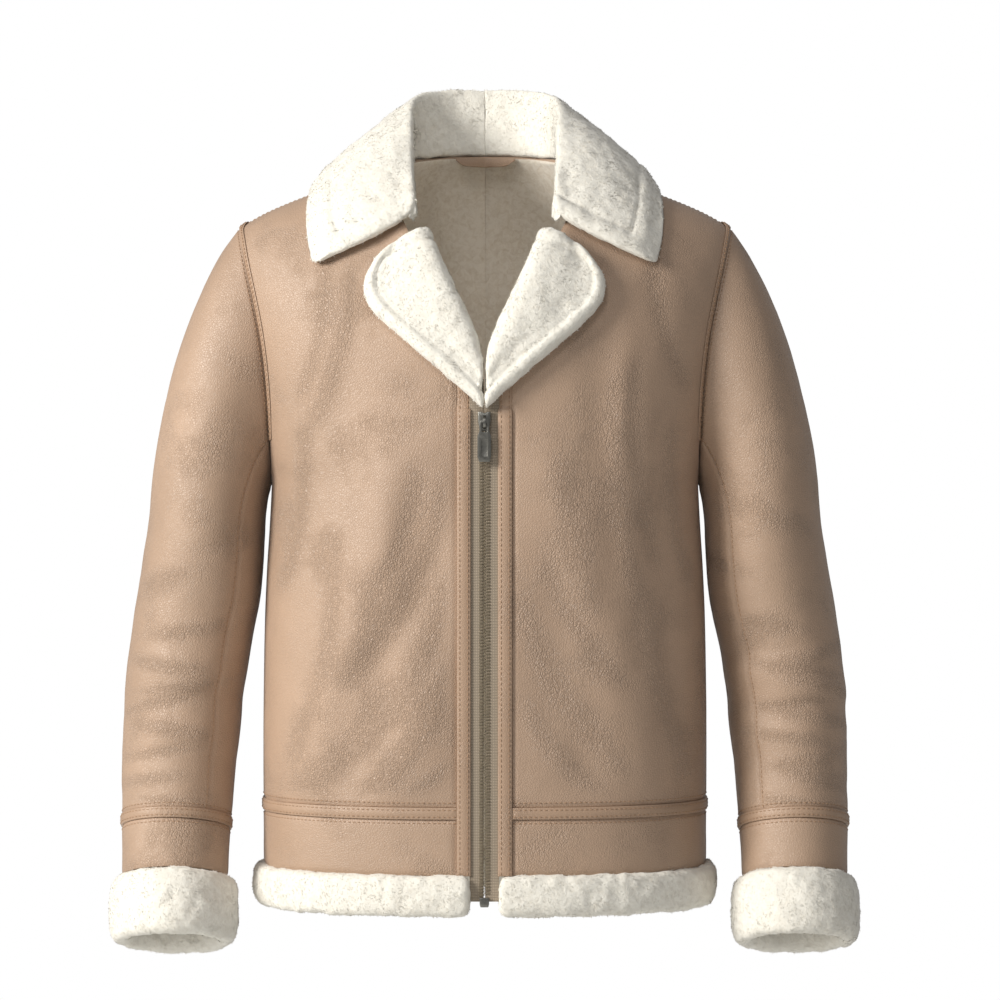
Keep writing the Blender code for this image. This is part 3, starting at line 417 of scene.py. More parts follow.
BODY_GRIDS = {}
for side in (1, -1):
    fore = body_grid(True, side)
    aft = body_grid(False, side)
    # The front and back share the line of the shoulder seam
    for j in range(FRONT_COLS + 1):
        x_seam = NECK_X + (TIP_X - NECK_X) * column_share(j, FRONT_COLS)
        seam = np.array((side * x_seam, 0.0, roof(x_seam)[0]))
        fore[-1, j] = seam
        aft[-1, j + NECK_COLS] = seam
    fore_n = normals_of(fore, side)
    aft_n = normals_of(aft, -side)
    fore_n[0] = level_normals(fore[:1])[0]
    aft_n[0] = level_normals(aft[:1])[0]
    for i in range(fore.shape[0]):
        if fore[i, 0, 2] < EDGE_TURN:
            fore_n[i, 0] = (0, -1, 0)
    for i in range(LOW_ROWS + 1):
        shared = unit(fore_n[i, -1] + aft_n[i, -1])
        fore_n[i, -1] = shared
        aft_n[i, -1] = shared
    for j in range(FRONT_COLS + 1):
        a, b = max(j - 1, 0), min(j + 1, FRONT_COLS)
        run = unit(fore[-1, b] - fore[-1, a])
        up = unit(np.cross(run, np.array((0, 1.0, 0)))) * side
        up = up if up[2] > 0 else -up
        fore_n[-1, j] = up
        aft_n[-1, j + NECK_COLS] = up
    aft_n[:, 0, 0] = 0
    for i in range(aft_n.shape[0]):
        aft_n[i, 0] = unit(aft_n[i, 0])
    BODY_GRIDS[side] = (fore, fore_n, aft, aft_n)


# Sleeves: the cap runs from the armhole to the first ring, then rings go down the arm

AROUND = 2 * HIGH_ROWS
TOP_START, TOP_END = 14, 8      # the two seams of the sleeve, counted from the shoulder towards the front
CAP_ROWS = 7
SLEEVE_LEVELS = (-0.365, -0.395, -0.425, -0.450, -0.470, -0.490, -0.510, -0.530, -0.552, -0.577)


def ring_frame(level):
    """Middle of the sleeve, its outward and forward directions and its reaches at a level of its axis."""
    x, wide, y, deep = along(SLEEVE, -level)
    a = along(SLEEVE, -level + 0.004)
    b = along(SLEEVE, -level - 0.004)
    down = unit(np.array((a[0] - b[0], a[2] - b[2], -0.008)))
    out = unit(np.array((1.0, 0, 0)) - down * down[0])
    fore = unit(np.cross(out, down))
    fore = fore if fore[1] < 0 else -fore
    return np.array((x, y, level)), out, fore, wide, deep, down


def ring_point(level, angle, side, grow=0.0):
    """Point round the sleeve; the angle is 0 outside, 90 in front."""
    middle, out, fore, wide, deep, _ = ring_frame(level)
    rise = grow
    for z, at, spread, half, height in SLEEVE_CREASES[side]:
        turn = (angle * 180 / pi - at + 180) % 360 - 180
        slant = 0.00012 * turn
        rise += height * np.exp(-(turn / spread) ** 2 - ((level - z - slant) / half) ** 2)
    p = middle + out * (wide + rise) * cos(angle) + fore * (deep + rise) * sin(angle)
    return np.array((side * p[0], p[1], p[2]))


def armhole_loop(side):
    """Armhole points and the wall direction there, from the shoulder down the front and up the back."""
    fore, fore_n, aft, aft_n = BODY_GRIDS[side]
    top = fore.shape[0] - 1
    points = [fore[i, -1] for i in range(top, LOW_ROWS, -1)] + [aft[i, -1] for i in range(LOW_ROWS, top)]
    norms = [fore_n[i, -1] for i in range(top, LOW_ROWS, -1)] + [aft_n[i, -1] for i in range(LOW_ROWS, top)]
    return points, norms


def cap_start(angle):
    """Direction in which the sleeve leaves the armhole."""
    c = cos(angle)
    return unit(np.array((0.75 + 0.095 * c - 0.215 * c * c, -0.25 * sin(angle),
                          -0.6 + 0.085 * c - 0.265 * c * c)))


def share_seams(side):
    """Gives the body edge at the armhole a wall direction halfway between body and sleeve."""
    fore, fore_n, aft, aft_n = BODY_GRIDS[side]
    loop, _ = armhole_loop(side)
    top = fore.shape[0] - 1
    middle = np.mean(loop, axis=0) + np.array((side * 0.03, 0, 0))
    for k in range(AROUND):
        tangent = loop[(k + 1) % AROUND] - loop[k - 1]
        away = cap_start(2 * pi * k / AROUND) * np.array((side, 1, 1))
        sleeve_n = unit(np.cross(tangent, away))
        if np.dot(sleeve_n, loop[k] - middle) < 0:
            sleeve_n = -sleeve_n
        if k <= HIGH_ROWS:
            body_n = fore_n[top - k, -1]
        else:
            body_n = aft_n[LOW_ROWS + k - HIGH_ROWS, -1]
        both = unit(body_n + sleeve_n)
        if k <= HIGH_ROWS:
            fore_n[top - k, -1] = both
        if k >= HIGH_ROWS:
            aft_n[LOW_ROWS + k - HIGH_ROWS, -1] = both
        if k == 0:
            aft_n[top, -1] = both


def sleeve_grid(side):
    """Rows from the armhole to the sleeve strap, columns round the arm, with their normals."""
    loop, seam_n = armhole_loop(side)
    levels = (-SLEEVE[0][0],) + SLEEVE_LEVELS + (SLEEVE_STRAP[0],)
    rows = CAP_ROWS + len(levels)
    grid = np.zeros((rows, AROUND, 3))
    for k in range(AROUND):
        angle = 2 * pi * k / AROUND
        start = loop[k]
        end = ring_point(levels[0], angle, side)
        down = ring_frame(levels[0])[5] * np.array((side, 1, 1))
        away = cap_start(angle) * np.array((side, 1, 1))
        far = np.linalg.norm(end - start)
        for i in range(CAP_ROWS):
            u = i / CAP_ROWS
            grid[i, k] = ((2 * u ** 3 - 3 * u ** 2 + 1) * start
                          + (u ** 3 - 2 * u ** 2 + u) * 0.74 * far * away
                          + (3 * u ** 2 - 2 * u ** 3) * end + (u ** 3 - u ** 2) * 1.1 * far * down)
        for i, level in enumerate(levels):
            grid[CAP_ROWS + i, k] = ring_point(level, angle, side)
    wide = np.concatenate([grid[:, -1:], grid, grid[:, :1]], axis=1)
    norms = normals_of(wide, side)[:, 1:-1]
    middle = grid.mean(axis=1)
    for i in range(rows):
        for k in range(AROUND):
            if np.dot(norms[i, k], grid[i, k] - middle[i]) < 0:
                norms[i, k] = -norms[i, k]
    for k in range(AROUND):
        norms[0, k] = seam_n[k]
    return grid, norms


for side in (1, -1):
    share_seams(side)


# Shapes of the other pieces, from the same sizes

def ring_rows(levels, front, side):
    """Rows of the body at the given levels with the columns of the low rows."""
    cols = FRONT_COLS if front else BACK_COLS
    grid = np.zeros((len(levels), cols + 1, 3))
    for i, level in enumerate(levels):
        inner = angle_of(STRIP_OUT, level) if front else 0.0
        for j in range(cols + 1):
            share = column_share(j, cols)
            grid[i, j] = body_at(inner + (pi / 2 - inner) * share, None, level, front, side)
    return grid


def roll_shape(pile):
    """Reach across and share of the half height at each corner of a roll of pile."""
    shape = []
    for k in range(ROLL_SIDES):
        c, s = cos(2 * pi * k / ROLL_SIDES), sin(2 * pi * k / ROLL_SIDES)
        across = np.sign(c) * abs(c) ** ROLL_POWER * (pile[0] if c > 0 else pile[1])
        shape.append((across, np.sign(s) * abs(s) ** ROLL_POWER))
    return shape


UP = np.array((0, 0, 1.0))
HEM_FUR_MIDDLE = (HEM_FUR_BOTTOM + HEM_FUR_TOP) / 2
HEM_FUR_HALF = (HEM_FUR_TOP - HEM_FUR_BOTTOM) / 2


def front_column(x, z, rise):
    return np.array((x, -(depth_at(x, z, True) + rise), z))


def levels_between(low, high, count):
    return [low + (high - low) * i / count for i in range(count + 1)]


def push_out(point, gap):
    """Moves a point outwards until it clears the body by the gap."""
    p = np.array(point, float)
    turn = -1 if p[1] < 0 else 1
    for _ in range(80):
        y_in, z_in = abs(p[1]) - gap * 0.7, p[2] - gap * 0.7
        if z_in >= roof(p[0])[0] or y_in >= depth_at(p[0], z_in, turn < 0):
            return p
        p += np.array((0, turn * 0.00035, 0.00035))
    return p


def collar_middle(share):
    """Middle line of a collar section: up the stand, over the roll and down the fall."""
    values = along(COLLAR, share)
    neck, roll, mid, edge = (values[k:k + 3] for k in (0, 3, 6, 9))
    fall = unit(mid - roll)
    rise = unit(roll - neck)
    high = np.linalg.norm(roll - neck)
    points = [neck, neck + rise * high * 0.35, neck + rise * high * 0.72]
    lift = unit(rise * 0.75 - fall * 0.25 + UP * 0.35)
    points.append(roll + lift * 0.0005)
    for u in (0.14, 0.3, 0.5, 0.7, 0.86, 1.0):
        a = roll * (1 - u) + mid * u
        b = mid * (1 - u) + edge * u
        points.append(a * (1 - u) + b * u + lift * 0.004 * (1 - u) * u * 4)
    return points


def clear_of_body(point, place):
    """Keeps the fall above the body, and the stand off the edge of the panels."""
    if place > 2 or (point[1] < 0.004 and point[0] > linear(FRONT_EDGE, point[2]) - COLLAR_LIFT):
        return push_out(point, COLLAR_LIFT)
    return point


COLLAR_LIFT = 0.0042
COLLAR_HALF = (0.0040, 0.0046, 0.0052, 0.0058, 0.0062, 0.0064, 0.0064, 0.0064, 0.0060, 0.0030)
COLLAR_STEPS = 13


def lapel_point(start, end, along_by, rise):
    """Point over the chest on the line from the roll to the edge, raised from the body."""
    way = unit(end - start)
    x, z = start + way * along_by
    x_safe = max(x, 0.0)
    step = 0.002
    slope_x = (depth_at(x_safe + step, z, True) - depth_at(x_safe, z, True)) / step
    slope_z = (depth_at(x_safe, z + step, True) - depth_at(x_safe, z, True)) / step
    out = unit(np.array((-slope_x, -1.0, -slope_z)))
    return np.array((x, -depth_at(x_safe, z, True), z)) + out * rise


def turn_columns(grid, first, last):
    """Columns of a closed grid from the first to the last, going round past the start."""
    picked = []
    k = first
    while True:
        picked.append(grid[:, k % AROUND])
        if k % AROUND == last:
            break
        k += 1
    return np.stack(picked, axis=1)


STRAP_START = 3          # rows above the armpit where the armhole strap begins
STRAP_SET = 0.0007
STRAP_LIFT = 0.0004      # back and face of the armhole strap, over the leather
STRAP_FACE = 0.0018
LOOP_HALF = 0.0275
LOOP_BACK = 0.0086       # from the outside of the back to the middle of the loop
LOOP_THIN = 0.0011
LOOP_Z = 0.0035
LOOP_BOW = 0.0010
LOOP_TALL = 0.0050       # half its height, less towards the ends
LOOP_TAPER = 0.0008
LOOP_SLANT = 0.0062      # how far its ends rise at the foot
TAPE_EDGE = 0.0006       # inner edge of each zip tape, and how far it runs under the strip
TAPE_UNDER = 0.0010

# How far inside the border of its piece each row of stitches lies
HEM_ROW = 0.0042
SEAM_ROW = 0.0036
CAP_ROW = 0.0034
SLEEVE_ROW = 0.0030
STRIP_ROW = 0.0026
STRAP_ROW = 0.0022
ARMHOLE_ROW = 0.0020

COLLAR_NOSE = 0.0050     # reach of the pile past the edge of the collar
CHEST_Y = -depth_at(0.0, -0.245, True)
SLIDER_TOP = -0.2345
PIVOT_Z = -0.2440
PULL_Y = CHEST_Y - 0.0062
FUR_NOSE = ((0.0195, 1.0), (0.0155, 0.9), (0.0128, 0.62))


def lapel_outline(width):
    """Section of a lapel: distance from its roll line, and height over the chest."""
    return (
        (0.0125, -0.0055), (0.0060, -0.0065), (0.0012, -0.0025), (0.0000, 0.0035), (0.0025, 0.0095),
        (0.0100, 0.0135), (0.30 * width + 0.004, 0.0145), (width - 0.020, 0.0128), (width - 0.009, 0.0145),
        (width - 0.002, 0.0110), (width, 0.0060), (width - 0.003, 0.0022), (width - 0.012, 0.0014),
        (0.60 * width, 0.0012), (0.35 * width + 0.006, 0.0012), (0.0140, 0.0012),
    )


# Fine surfaces: the curves, noise and creases that turn a coarse grid into cloth

TIGHT = (0.0008, 0.0018, 0.0032, 0.0052)     # rows of points beside a border, where the edge rolls in
HEM_CALM = {"b": (0.004, 0.02), "t": (0.002, 0.02), "i": (0.002, 0.02), "o": (0.010, 0.02)}
SEAM_CALM = {"b": (0.001, 0.006), "t": (0.001, 0.006), "i": (0.001, 0.008), "o": (0.001, 0.008)}


def value_noise(points, size, seed):
    """Smooth seeded noise from -1 to 1, with bumps of about the given size."""
    place = points / size + seed * 17.13
    base = np.floor(place).astype(np.int64)
    part = place - base
    part = part * part * (3 - 2 * part)
    total = np.zeros(points.shape[:-1])
    for corner in range(8):
        step = np.array((corner & 1, corner >> 1 & 1, corner >> 2 & 1))
        cell = base + step
        code = cell[..., 0] * 73856093 ^ cell[..., 1] * 19349663 ^ cell[..., 2] * 83492791
        code = (code ^ (code >> 13)) * 1274126177
        code = (code ^ (code >> 16)) & 0xFFFF
        weight = np.prod(np.where(step, part, 1 - part), axis=-1)
        total += weight * (code / 32767.5 - 1)
    return total


def smooth_step(value):
    value = np.clip(value, 0.0, 1.0)
    return value * value * (3 - 2 * value)


def stops_for(lines, step, closed=False, tight=(True, True)):
    """Places along axis 0 as (segment, share), closer together beside a border."""
    if closed:
        lines = np.concatenate([lines, lines[:1]])
    lengths = np.linalg.norm(np.diff(lines, axis=0), axis=-1).mean(axis=-1)
    stops = []
    last = len(lengths) - 1
    for i, length in enumerate(lengths):
        parts = max(1, round(length / step))
        shares = {k / parts for k in range(parts)}
        if not closed and i == 0 and tight[0]:
            shares |= {d / length for d in TIGHT if d < 0.45 * length}
        if not closed and i == last and tight[1]:
            shares |= {1 - d / length for d in TIGHT if d < 0.45 * length}
        stops += [(i, share) for share in sorted(shares)]
    if not closed:
        stops.append((last, 1.0))
    return np.array(stops)


def refine(lines, stops, closed=False):
    """Smooth curves through the points of every line along axis 0."""
    if closed:
        lines = np.concatenate([lines[-1:], lines, lines[:2]])
    else:
        lines = np.concatenate([2 * lines[:1] - lines[1:2], lines, 2 * lines[-1:] - lines[-2:-1]])
    chords = np.linalg.norm(np.diff(lines, axis=0), axis=-1)[..., None] + 1e-9
    slopes = (lines[2:] - lines[:-2]) / (chords[1:] + chords[:-1])
    i = stops[:, 0].astype(int)
    u = stops[:, 1].reshape((-1,) + (1,) * (lines.ndim - 1))
    length = chords[i + 1]
    return ((2 * u ** 3 - 3 * u ** 2 + 1) * lines[i + 1] + (u ** 3 - 2 * u ** 2 + u) * length * slopes[i]
            + (3 * u ** 2 - 2 * u ** 3) * lines[i + 2] + (u ** 3 - u ** 2) * length * slopes[i + 1])


def fine_grid(grid, row_stops, col_stops, closed=False):
    tall = refine(grid, row_stops)
    return refine(tall.swapaxes(0, 1), col_stops, closed).swapaxes(0, 1)


def surface_normals(grid, closed=False):
    down = np.gradient(grid, axis=0)
    over = np.roll(grid, -1, 1) - np.roll(grid, 1, 1) if closed else np.gradient(grid, axis=1)
    normals = np.cross(over, down)
    return normals / np.maximum(1e-12, np.linalg.norm(normals, axis=-1))[..., None]


def border_distances(grid):
    """Distances along the surface from the bottom, top, inner and outer borders."""
    rows = np.linalg.norm(np.diff(grid, axis=0), axis=-1)
    cols = np.linalg.norm(np.diff(grid, axis=1), axis=-1)
    down = np.concatenate([np.zeros((1, grid.shape[1])), np.cumsum(rows, axis=0)])
    over = np.concatenate([np.zeros((grid.shape[0], 1)), np.cumsum(cols, axis=1)], axis=1)
    return {"b": down, "t": down[-1] - down, "i": over, "o": over[:, -1:] - over}


def fold_field(points, folds):
    """Height of long folds and how creased the leather is, in front view."""
    x, z = np.abs(points[..., 0]), points[..., 2]
    rise, crease = np.zeros(x.shape), np.zeros(x.shape)
    for x0, z0, x1, z1, half, height in folds:
        dx, dz = x1 - x0, z1 - z0
        length = sqrt(dx * dx + dz * dz)
        s = ((x - x0) * dx + (z - z0) * dz) / length ** 2
        bend = 0.18 * length * (s - s * s)
        off = ((x - x0) * dz - (z - z0) * dx) / length - bend
        beyond = np.maximum(0.0, np.maximum(-s, s - 1.0)) * length
        bump = np.exp(-(off / half) ** 2 - (beyond / (1.8 * half)) ** 2)
        rise += height * bump
        crease += min(1.0, abs(height) / 0.0012) * bump
    return rise, crease


# Fine folds of the fronts and backs: x, z of one end, x, z of the other, half width, height
FINE_FOLDS = {
    "front_right": (
        (0.034, -0.395, 0.100, -0.520, 0.011, 0.0013), (0.052, -0.372, 0.116, -0.470, 0.009, -0.0009),
        (0.030, -0.300, 0.120, -0.455, 0.012, 0.0011), (0.034, -0.470, 0.085, -0.560, 0.010, 0.0014),
        (0.045, -0.492, 0.100, -0.568, 0.008, -0.0010), (0.100, -0.500, 0.150, -0.566, 0.012, 0.0010),
        (0.060, -0.300, 0.085, -0.380, 0.010, -0.0008), (0.120, -0.120, 0.150, -0.235, 0.010, 0.0008),
        (0.140, -0.115, 0.162, -0.215, 0.007, -0.0007), (0.162, -0.260, 0.178, -0.380, 0.008, 0.0009),
        (0.135, -0.400, 0.165, -0.520, 0.009, -0.0008), (0.028, -0.545, 0.080, -0.578, 0.007, 0.0009),
    ),
    "front_left": (
        (0.036, -0.420, 0.110, -0.540, 0.013, 0.0010), (0.060, -0.380, 0.120, -0.470, 0.010, -0.0008),
        (0.118, -0.215, 0.134, -0.390, 0.009, 0.0010), (0.135, -0.200, 0.150, -0.360, 0.008, -0.0008),
        (0.040, -0.505, 0.100, -0.572, 0.010, 0.0009), (0.150, -0.430, 0.180, -0.550, 0.010, 0.0009),
        (0.070, -0.290, 0.092, -0.400, 0.011, 0.0007), (0.152, -0.110, 0.176, -0.200, 0.008, -0.0008),
        (0.166, -0.255, 0.182, -0.380, 0.007, 0.0008),
    ),
    "back_left": (
        (0.060, -0.070, 0.150, -0.150, 0.014, 0.0010), (0.100, -0.160, 0.180, -0.270, 0.012, 0.0012),
        (0.080, -0.190, 0.165, -0.320, 0.010, -0.0010), (0.040, -0.460, 0.110, -0.560, 0.012, 0.0011),
        (0.110, -0.430, 0.160, -0.550, 0.010, -0.0009), (0.030, -0.330, 0.060, -0.460, 0.012, 0.0008),
    ),
    "back_right": (
        (0.050, -0.080, 0.140, -0.145, 0.013, 0.0009), (0.110, -0.180, 0.176, -0.300, 0.013, 0.0013),
        (0.070, -0.200, 0.150, -0.300, 0.009, -0.0008), (0.050, -0.440, 0.130, -0.565, 0.012, 0.0012),
        (0.120, -0.400, 0.170, -0.520, 0.009, -0.0010), (0.022, -0.400, 0.070, -0.480, 0.010, 0.0008),
    ),
}

# Fine creases round the sleeves:
# z, angle from the outside (90 is the front), spread, half height, rise, slant
FINE_CREASES = {
    1: (
        (-0.425, 110, 40, 0.006, -0.0010, 0.10), (-0.452, 60, 34, 0.006, 0.0014, -0.16),
        (-0.468, 70, 46, 0.005, -0.0015, 0.12), (-0.484, 48, 38, 0.005, 0.0013, 0.20),
        (-0.497, 84, 40, 0.004, -0.0014, -0.08), (-0.512, 56, 44, 0.006, 0.0014, 0.14),
        (-0.528, 92, 40, 0.005, -0.0013, 0.10), (-0.546, 66, 40, 0.006, 0.0011, -0.12),
        (-0.568, 50, 44, 0.006, -0.0009, 0.16), (-0.585, 100, 44, 0.005, 0.0009, 0.06),
        (-0.372, 140, 30, 0.008, -0.0010, 0.20), (-0.480, 262, 44, 0.007, 0.0014, 0.12),
        (-0.512, 280, 40, 0.006, -0.0012, -0.10), (-0.545, 255, 40, 0.007, 0.0011, 0.16),
        (-0.330, 80, 30, 0.010, 0.0009, 0.30),
    ),
    -1: (
        (-0.430, 90, 40, 0.007, 0.0010, 0.12), (-0.462, 70, 40, 0.006, -0.0012, -0.12),
        (-0.481, 96, 40, 0.005, 0.0013, 0.10), (-0.499, 62, 46, 0.005, -0.0013, 0.16),
        (-0.520, 84, 40, 0.006, 0.0011, -0.10), (-0.541, 74, 44, 0.005, -0.0010, 0.12),
        (-0.566, 58, 40, 0.006, 0.0010, 0.10), (-0.586, 96, 44, 0.005, -0.0009, -0.08),
        (-0.385, 60, 30, 0.010, 0.0009, 0.25), (-0.350, 120, 30, 0.009, -0.0008, 0.20),
        (-0.488, 270, 40, 0.007, 0.0013, 0.10), (-0.530, 262, 44, 0.006, -0.0011, 0.14),
    ),
}


def leather_waves(points, seed):
    """The slight unevenness of soft leather."""
    return (0.00055 * value_noise(points, 0.052, seed) + 0.00032 * value_noise(points, 0.021, seed + 3)
            + 0.00014 * value_noise(points, 0.0085, seed + 7))


def body_detail(name, seed):
    def detail(points):
        rise, crease = fold_field(points, FINE_FOLDS[name])
        rise += leather_waves(points, seed)
        under = (points[..., 2] > -0.245) & (np.abs(points[..., 0]) < 0.12) & (points[..., 1] < 0)
        return np.where(under, 0.3 * np.minimum(rise, 0.0), rise), crease
    return detail


def sleeve_detail(side, seed):
    def detail(points):
        z = points[..., 2]
        levels = np.linspace(-0.72, 0.0, 73)
        frames = [ring_frame(level) for level in levels]
        middle_x = np.interp(z, levels, [f[0][0] for f in frames])
        middle_y = np.interp(z, levels, [f[0][1] for f in frames])
        angle = np.degrees(np.arctan2(-(points[..., 1] - middle_y), side * points[..., 0] - middle_x))
        rise, crease = leather_waves(points, seed), np.zeros(z.shape)
        for level, at, spread, half, height, slant in FINE_CREASES[side]:
            turn = (angle - at + 180) % 360 - 180
            off = z - level - slant * turn * 0.0012
            bump = np.exp(-(turn / spread) ** 2 - (off / half) ** 2)
            rise += height * bump
            crease += min(1.0, abs(height) / 0.0011) * bump
        return rise, crease
    return detail


def plain_detail(seed):
    def detail(points):
        return 0.5 * leather_waves(points, seed), np.zeros(points.shape[:-1])
    return detail


# Meshes

def signed_volume(verts, faces):
    total = 0.0
    for face in faces:
        a = verts[face[:, 0]]
        for k in range(1, face.shape[1] - 1):
            total += np.einsum("ij,ij->", a, np.cross(verts[face[:, k]], verts[face[:, k + 1]]))
    return total


def new_mesh(name, verts, faces, looks, look_of_face=None, crease=None, turn=True):
    """Object with the given faces, a list of arrays with one row for each face, turned to face outwards."""
    if turn and signed_volume(verts, faces) < 0:
        faces = [face[:, ::-1] for face in faces]
    mesh = bpy.data.meshes.new(name)
    mesh.from_pydata(verts.tolist(), [], [corners for face in faces for corners in face.tolist()])
    for look in looks:
        mesh.materials.append(look)
    if look_of_face is not None:
        mesh.polygons.foreach_set("material_index", look_of_face)
    mesh.polygons.foreach_set("use_smooth", [True] * len(mesh.polygons))
    if crease is not None:
        mesh.attributes.new("crease", "FLOAT", "POINT").data.foreach_set("value", crease)
    mesh.update()
    piece = bpy.data.objects.new(name, mesh)
    bpy.context.scene.collection.objects.link(piece)
    return piece


def grid_faces(rows, cols, closed, start=0):
    i, j = np.meshgrid(np.arange(rows - 1), np.arange(cols if closed else cols - 1), indexing="ij")
    nxt = (j + 1) % cols
    corners = np.stack([i * cols + j, i * cols + nxt, (i + 1) * cols + nxt, (i + 1) * cols + j], axis=-1)
    return corners.reshape(-1, 4) + start


def cloth_wall(name, outer, inner, step, looks, detail, calm, roll=0.0011, closed=False, inner_roll=0.0008):
    """Closed wall of leather: its face carries the creases, and its edges roll in at the seams."""
    row_stops = stops_for(outer, step)
    col_stops = stops_for(outer.swapaxes(0, 1), step, closed)
    face = fine_grid(outer, row_stops, col_stops, closed)
    back = fine_grid(inner, row_stops, col_stops, closed)
    normals = surface_normals(face, closed)
    if np.einsum("ijk,ijk->", normals, face - back) < 0:
        normals = -normals
    away = border_distances(face)
    sides = "bt" if closed else "btio"
    quiet = np.prod([smooth_step((away[s] - calm[s][0]) / calm[s][1]) for s in sides], axis=0)
    nearest = np.min([away[s] for s in sides], axis=0)
    rise, crease = detail(face)
    face_out = face + normals * (rise * quiet - roll * np.exp(-(nearest / 0.0030) ** 2))[..., None]
    back_out = back + normals * (inner_roll * np.exp(-(nearest / 0.0026) ** 2)
                                 + 0.0004 * value_noise(back, 0.012, 5) * quiet)[..., None]
    rows, cols = face.shape[:2]
    count = rows * cols
    verts = np.concatenate([face_out.reshape(-1, 3), back_out.reshape(-1, 3)])
    top = grid_faces(rows, cols, closed)
    under = grid_faces(rows, cols, closed, count)[:, ::-1]
    if closed:
        rings = [np.arange(cols), np.arange(cols)[::-1] + (rows - 1) * cols]
    else:
        rings = [np.concatenate([np.arange(cols - 1), np.arange(rows - 1) * cols + cols - 1,
                                 (rows - 1) * cols + np.arange(cols - 1, 0, -1),
                                  np.arange(rows - 1, 0, -1) * cols])]
    rims = []
    for ring in rings:
        nxt = np.roll(ring, -1)
        rims.append(np.stack([nxt, ring, ring + count, nxt + count], axis=-1))
    faces = np.concatenate([top, under] + rims)
    look = np.zeros(len(faces), int)
    look[len(top):len(top) + len(under)] = len(looks) - 1
    creased = np.concatenate([np.clip(crease * quiet, 0, 1).ravel(), np.zeros(count)])
    piece = new_mesh(name, verts, [faces], looks, look, creased)
    return piece, face_out, normals


# Wool pile: a lumpy body with a nap of short blades

def end_curve(distance, radius, least):
    """Share of the section left at a distance from a rounded end."""
    t = np.clip(1 - distance / radius, 0, 1)
    return np.sqrt(np.maximum(0.0, 1 - t * t)) * (1 - least) + least


def pile_roll(name, sections, step, closed=False, ends=(0.0, 0.0), groove=None, lump=1.0, seed=1,
              nose=None, least=0.32):
    """Solid of wool through closed sections; returns the piece, its points and its normals."""
    sections = np.array(sections)
    along_stops = stops_for(sections, step, closed, (ends[0] > 0, ends[1] > 0))
    round_stops = stops_for(sections.swapaxes(0, 1), step, True)
    tall = refine(sections, along_stops, closed)
    grid = refine(tall.swapaxes(0, 1), round_stops, True).swapaxes(0, 1)
    rows, cols = grid.shape[:2]
    lengths = np.linalg.norm(np.diff(grid, axis=0), axis=-1).mean(axis=1)
    run = np.concatenate([[0.0], np.cumsum(lengths)])
    middle = grid.mean(axis=1, keepdims=True)
    size = np.ones(rows)
    if ends[0]:
        size *= end_curve(run, ends[0], least)
    if ends[1]:
        size *= end_curve(run[-1] - run, ends[1], least)
    if nose is not None:
        partner = (2 * nose(cols) - np.arange(cols)) % cols
        middle = (grid + grid[:, partner]) / 2
    grid = middle + (grid - middle) * size[:, None, None]
    if closed:
        down = np.roll(grid, -1, 0) - np.roll(grid, 1, 0)
    else:
        down = np.gradient(grid, axis=0)
    over = np.roll(grid, -1, 1) - np.roll(grid, 1, 1)
    normals = np.cross(over, down)
    normals /= np.maximum(1e-12, np.linalg.norm(normals, axis=-1))[..., None]
    if np.einsum("ijk,ijk->", normals, grid - middle) < 0:
        normals = -normals
    rise = lump * (0.00075 * value_noise(grid, 0.0105, seed) + 0.00055 * value_noise(grid, 0.0052, seed + 1)
                   + 0.00012 * value_noise(grid, 0.0031, seed + 2))
    if groove is not None:
        rise = rise + groove(grid, run)
    grid = grid + normals * rise[..., None]
    verts = grid.reshape(-1, 3)
    i = np.arange(rows if closed else rows - 1)
    j = np.arange(cols)
    i, j = np.meshgrid(i, j, indexing="ij")
    ni, nj = (i + 1) % rows, (j + 1) % cols
    quads = np.stack([i * cols + j, i * cols + nj, ni * cols + nj, ni * cols + j], axis=-1).reshape(-1, 4)
    faces = [quads]
    if not closed and nose is not None:
        ring = []
        for k in range((cols + 1) // 2):
            a, b = (nose(cols) + k) % cols, (nose(cols) + k + 1) % cols
            c, d = (nose(cols) - k - 1) % cols, (nose(cols) - k) % cols
            if a == d:
                ring.append((a, b, c, c))
            elif b == c:
                ring.append((a, b, d, d))
            elif len({a, b, c, d}) == 4:
                ring.append((a, b, c, d))
        ring = [corners if corners[2] != corners[3] else corners[:3] for corners in ring]
        last = (rows - 1) * cols
        faces += [np.array([corners[::-1]]) for corners in ring]
        faces += [np.array([corners]) + last for corners in ring]
    elif not closed:
        verts = np.concatenate([verts, grid[0].mean(axis=0)[None], grid[-1].mean(axis=0)[None]])
        ring, nxt = np.arange(cols), (np.arange(cols) + 1) % cols
        low = np.stack([nxt, ring, np.full(cols, rows * cols)], axis=-1)
        last = (rows - 1) * cols
        high = np.stack([ring + last, nxt + last, np.full(cols, rows * cols + 1)], axis=-1)
        faces += [low, high]
    return new_mesh(name, verts, faces, [LOOKS["wool"]]), grid, normals


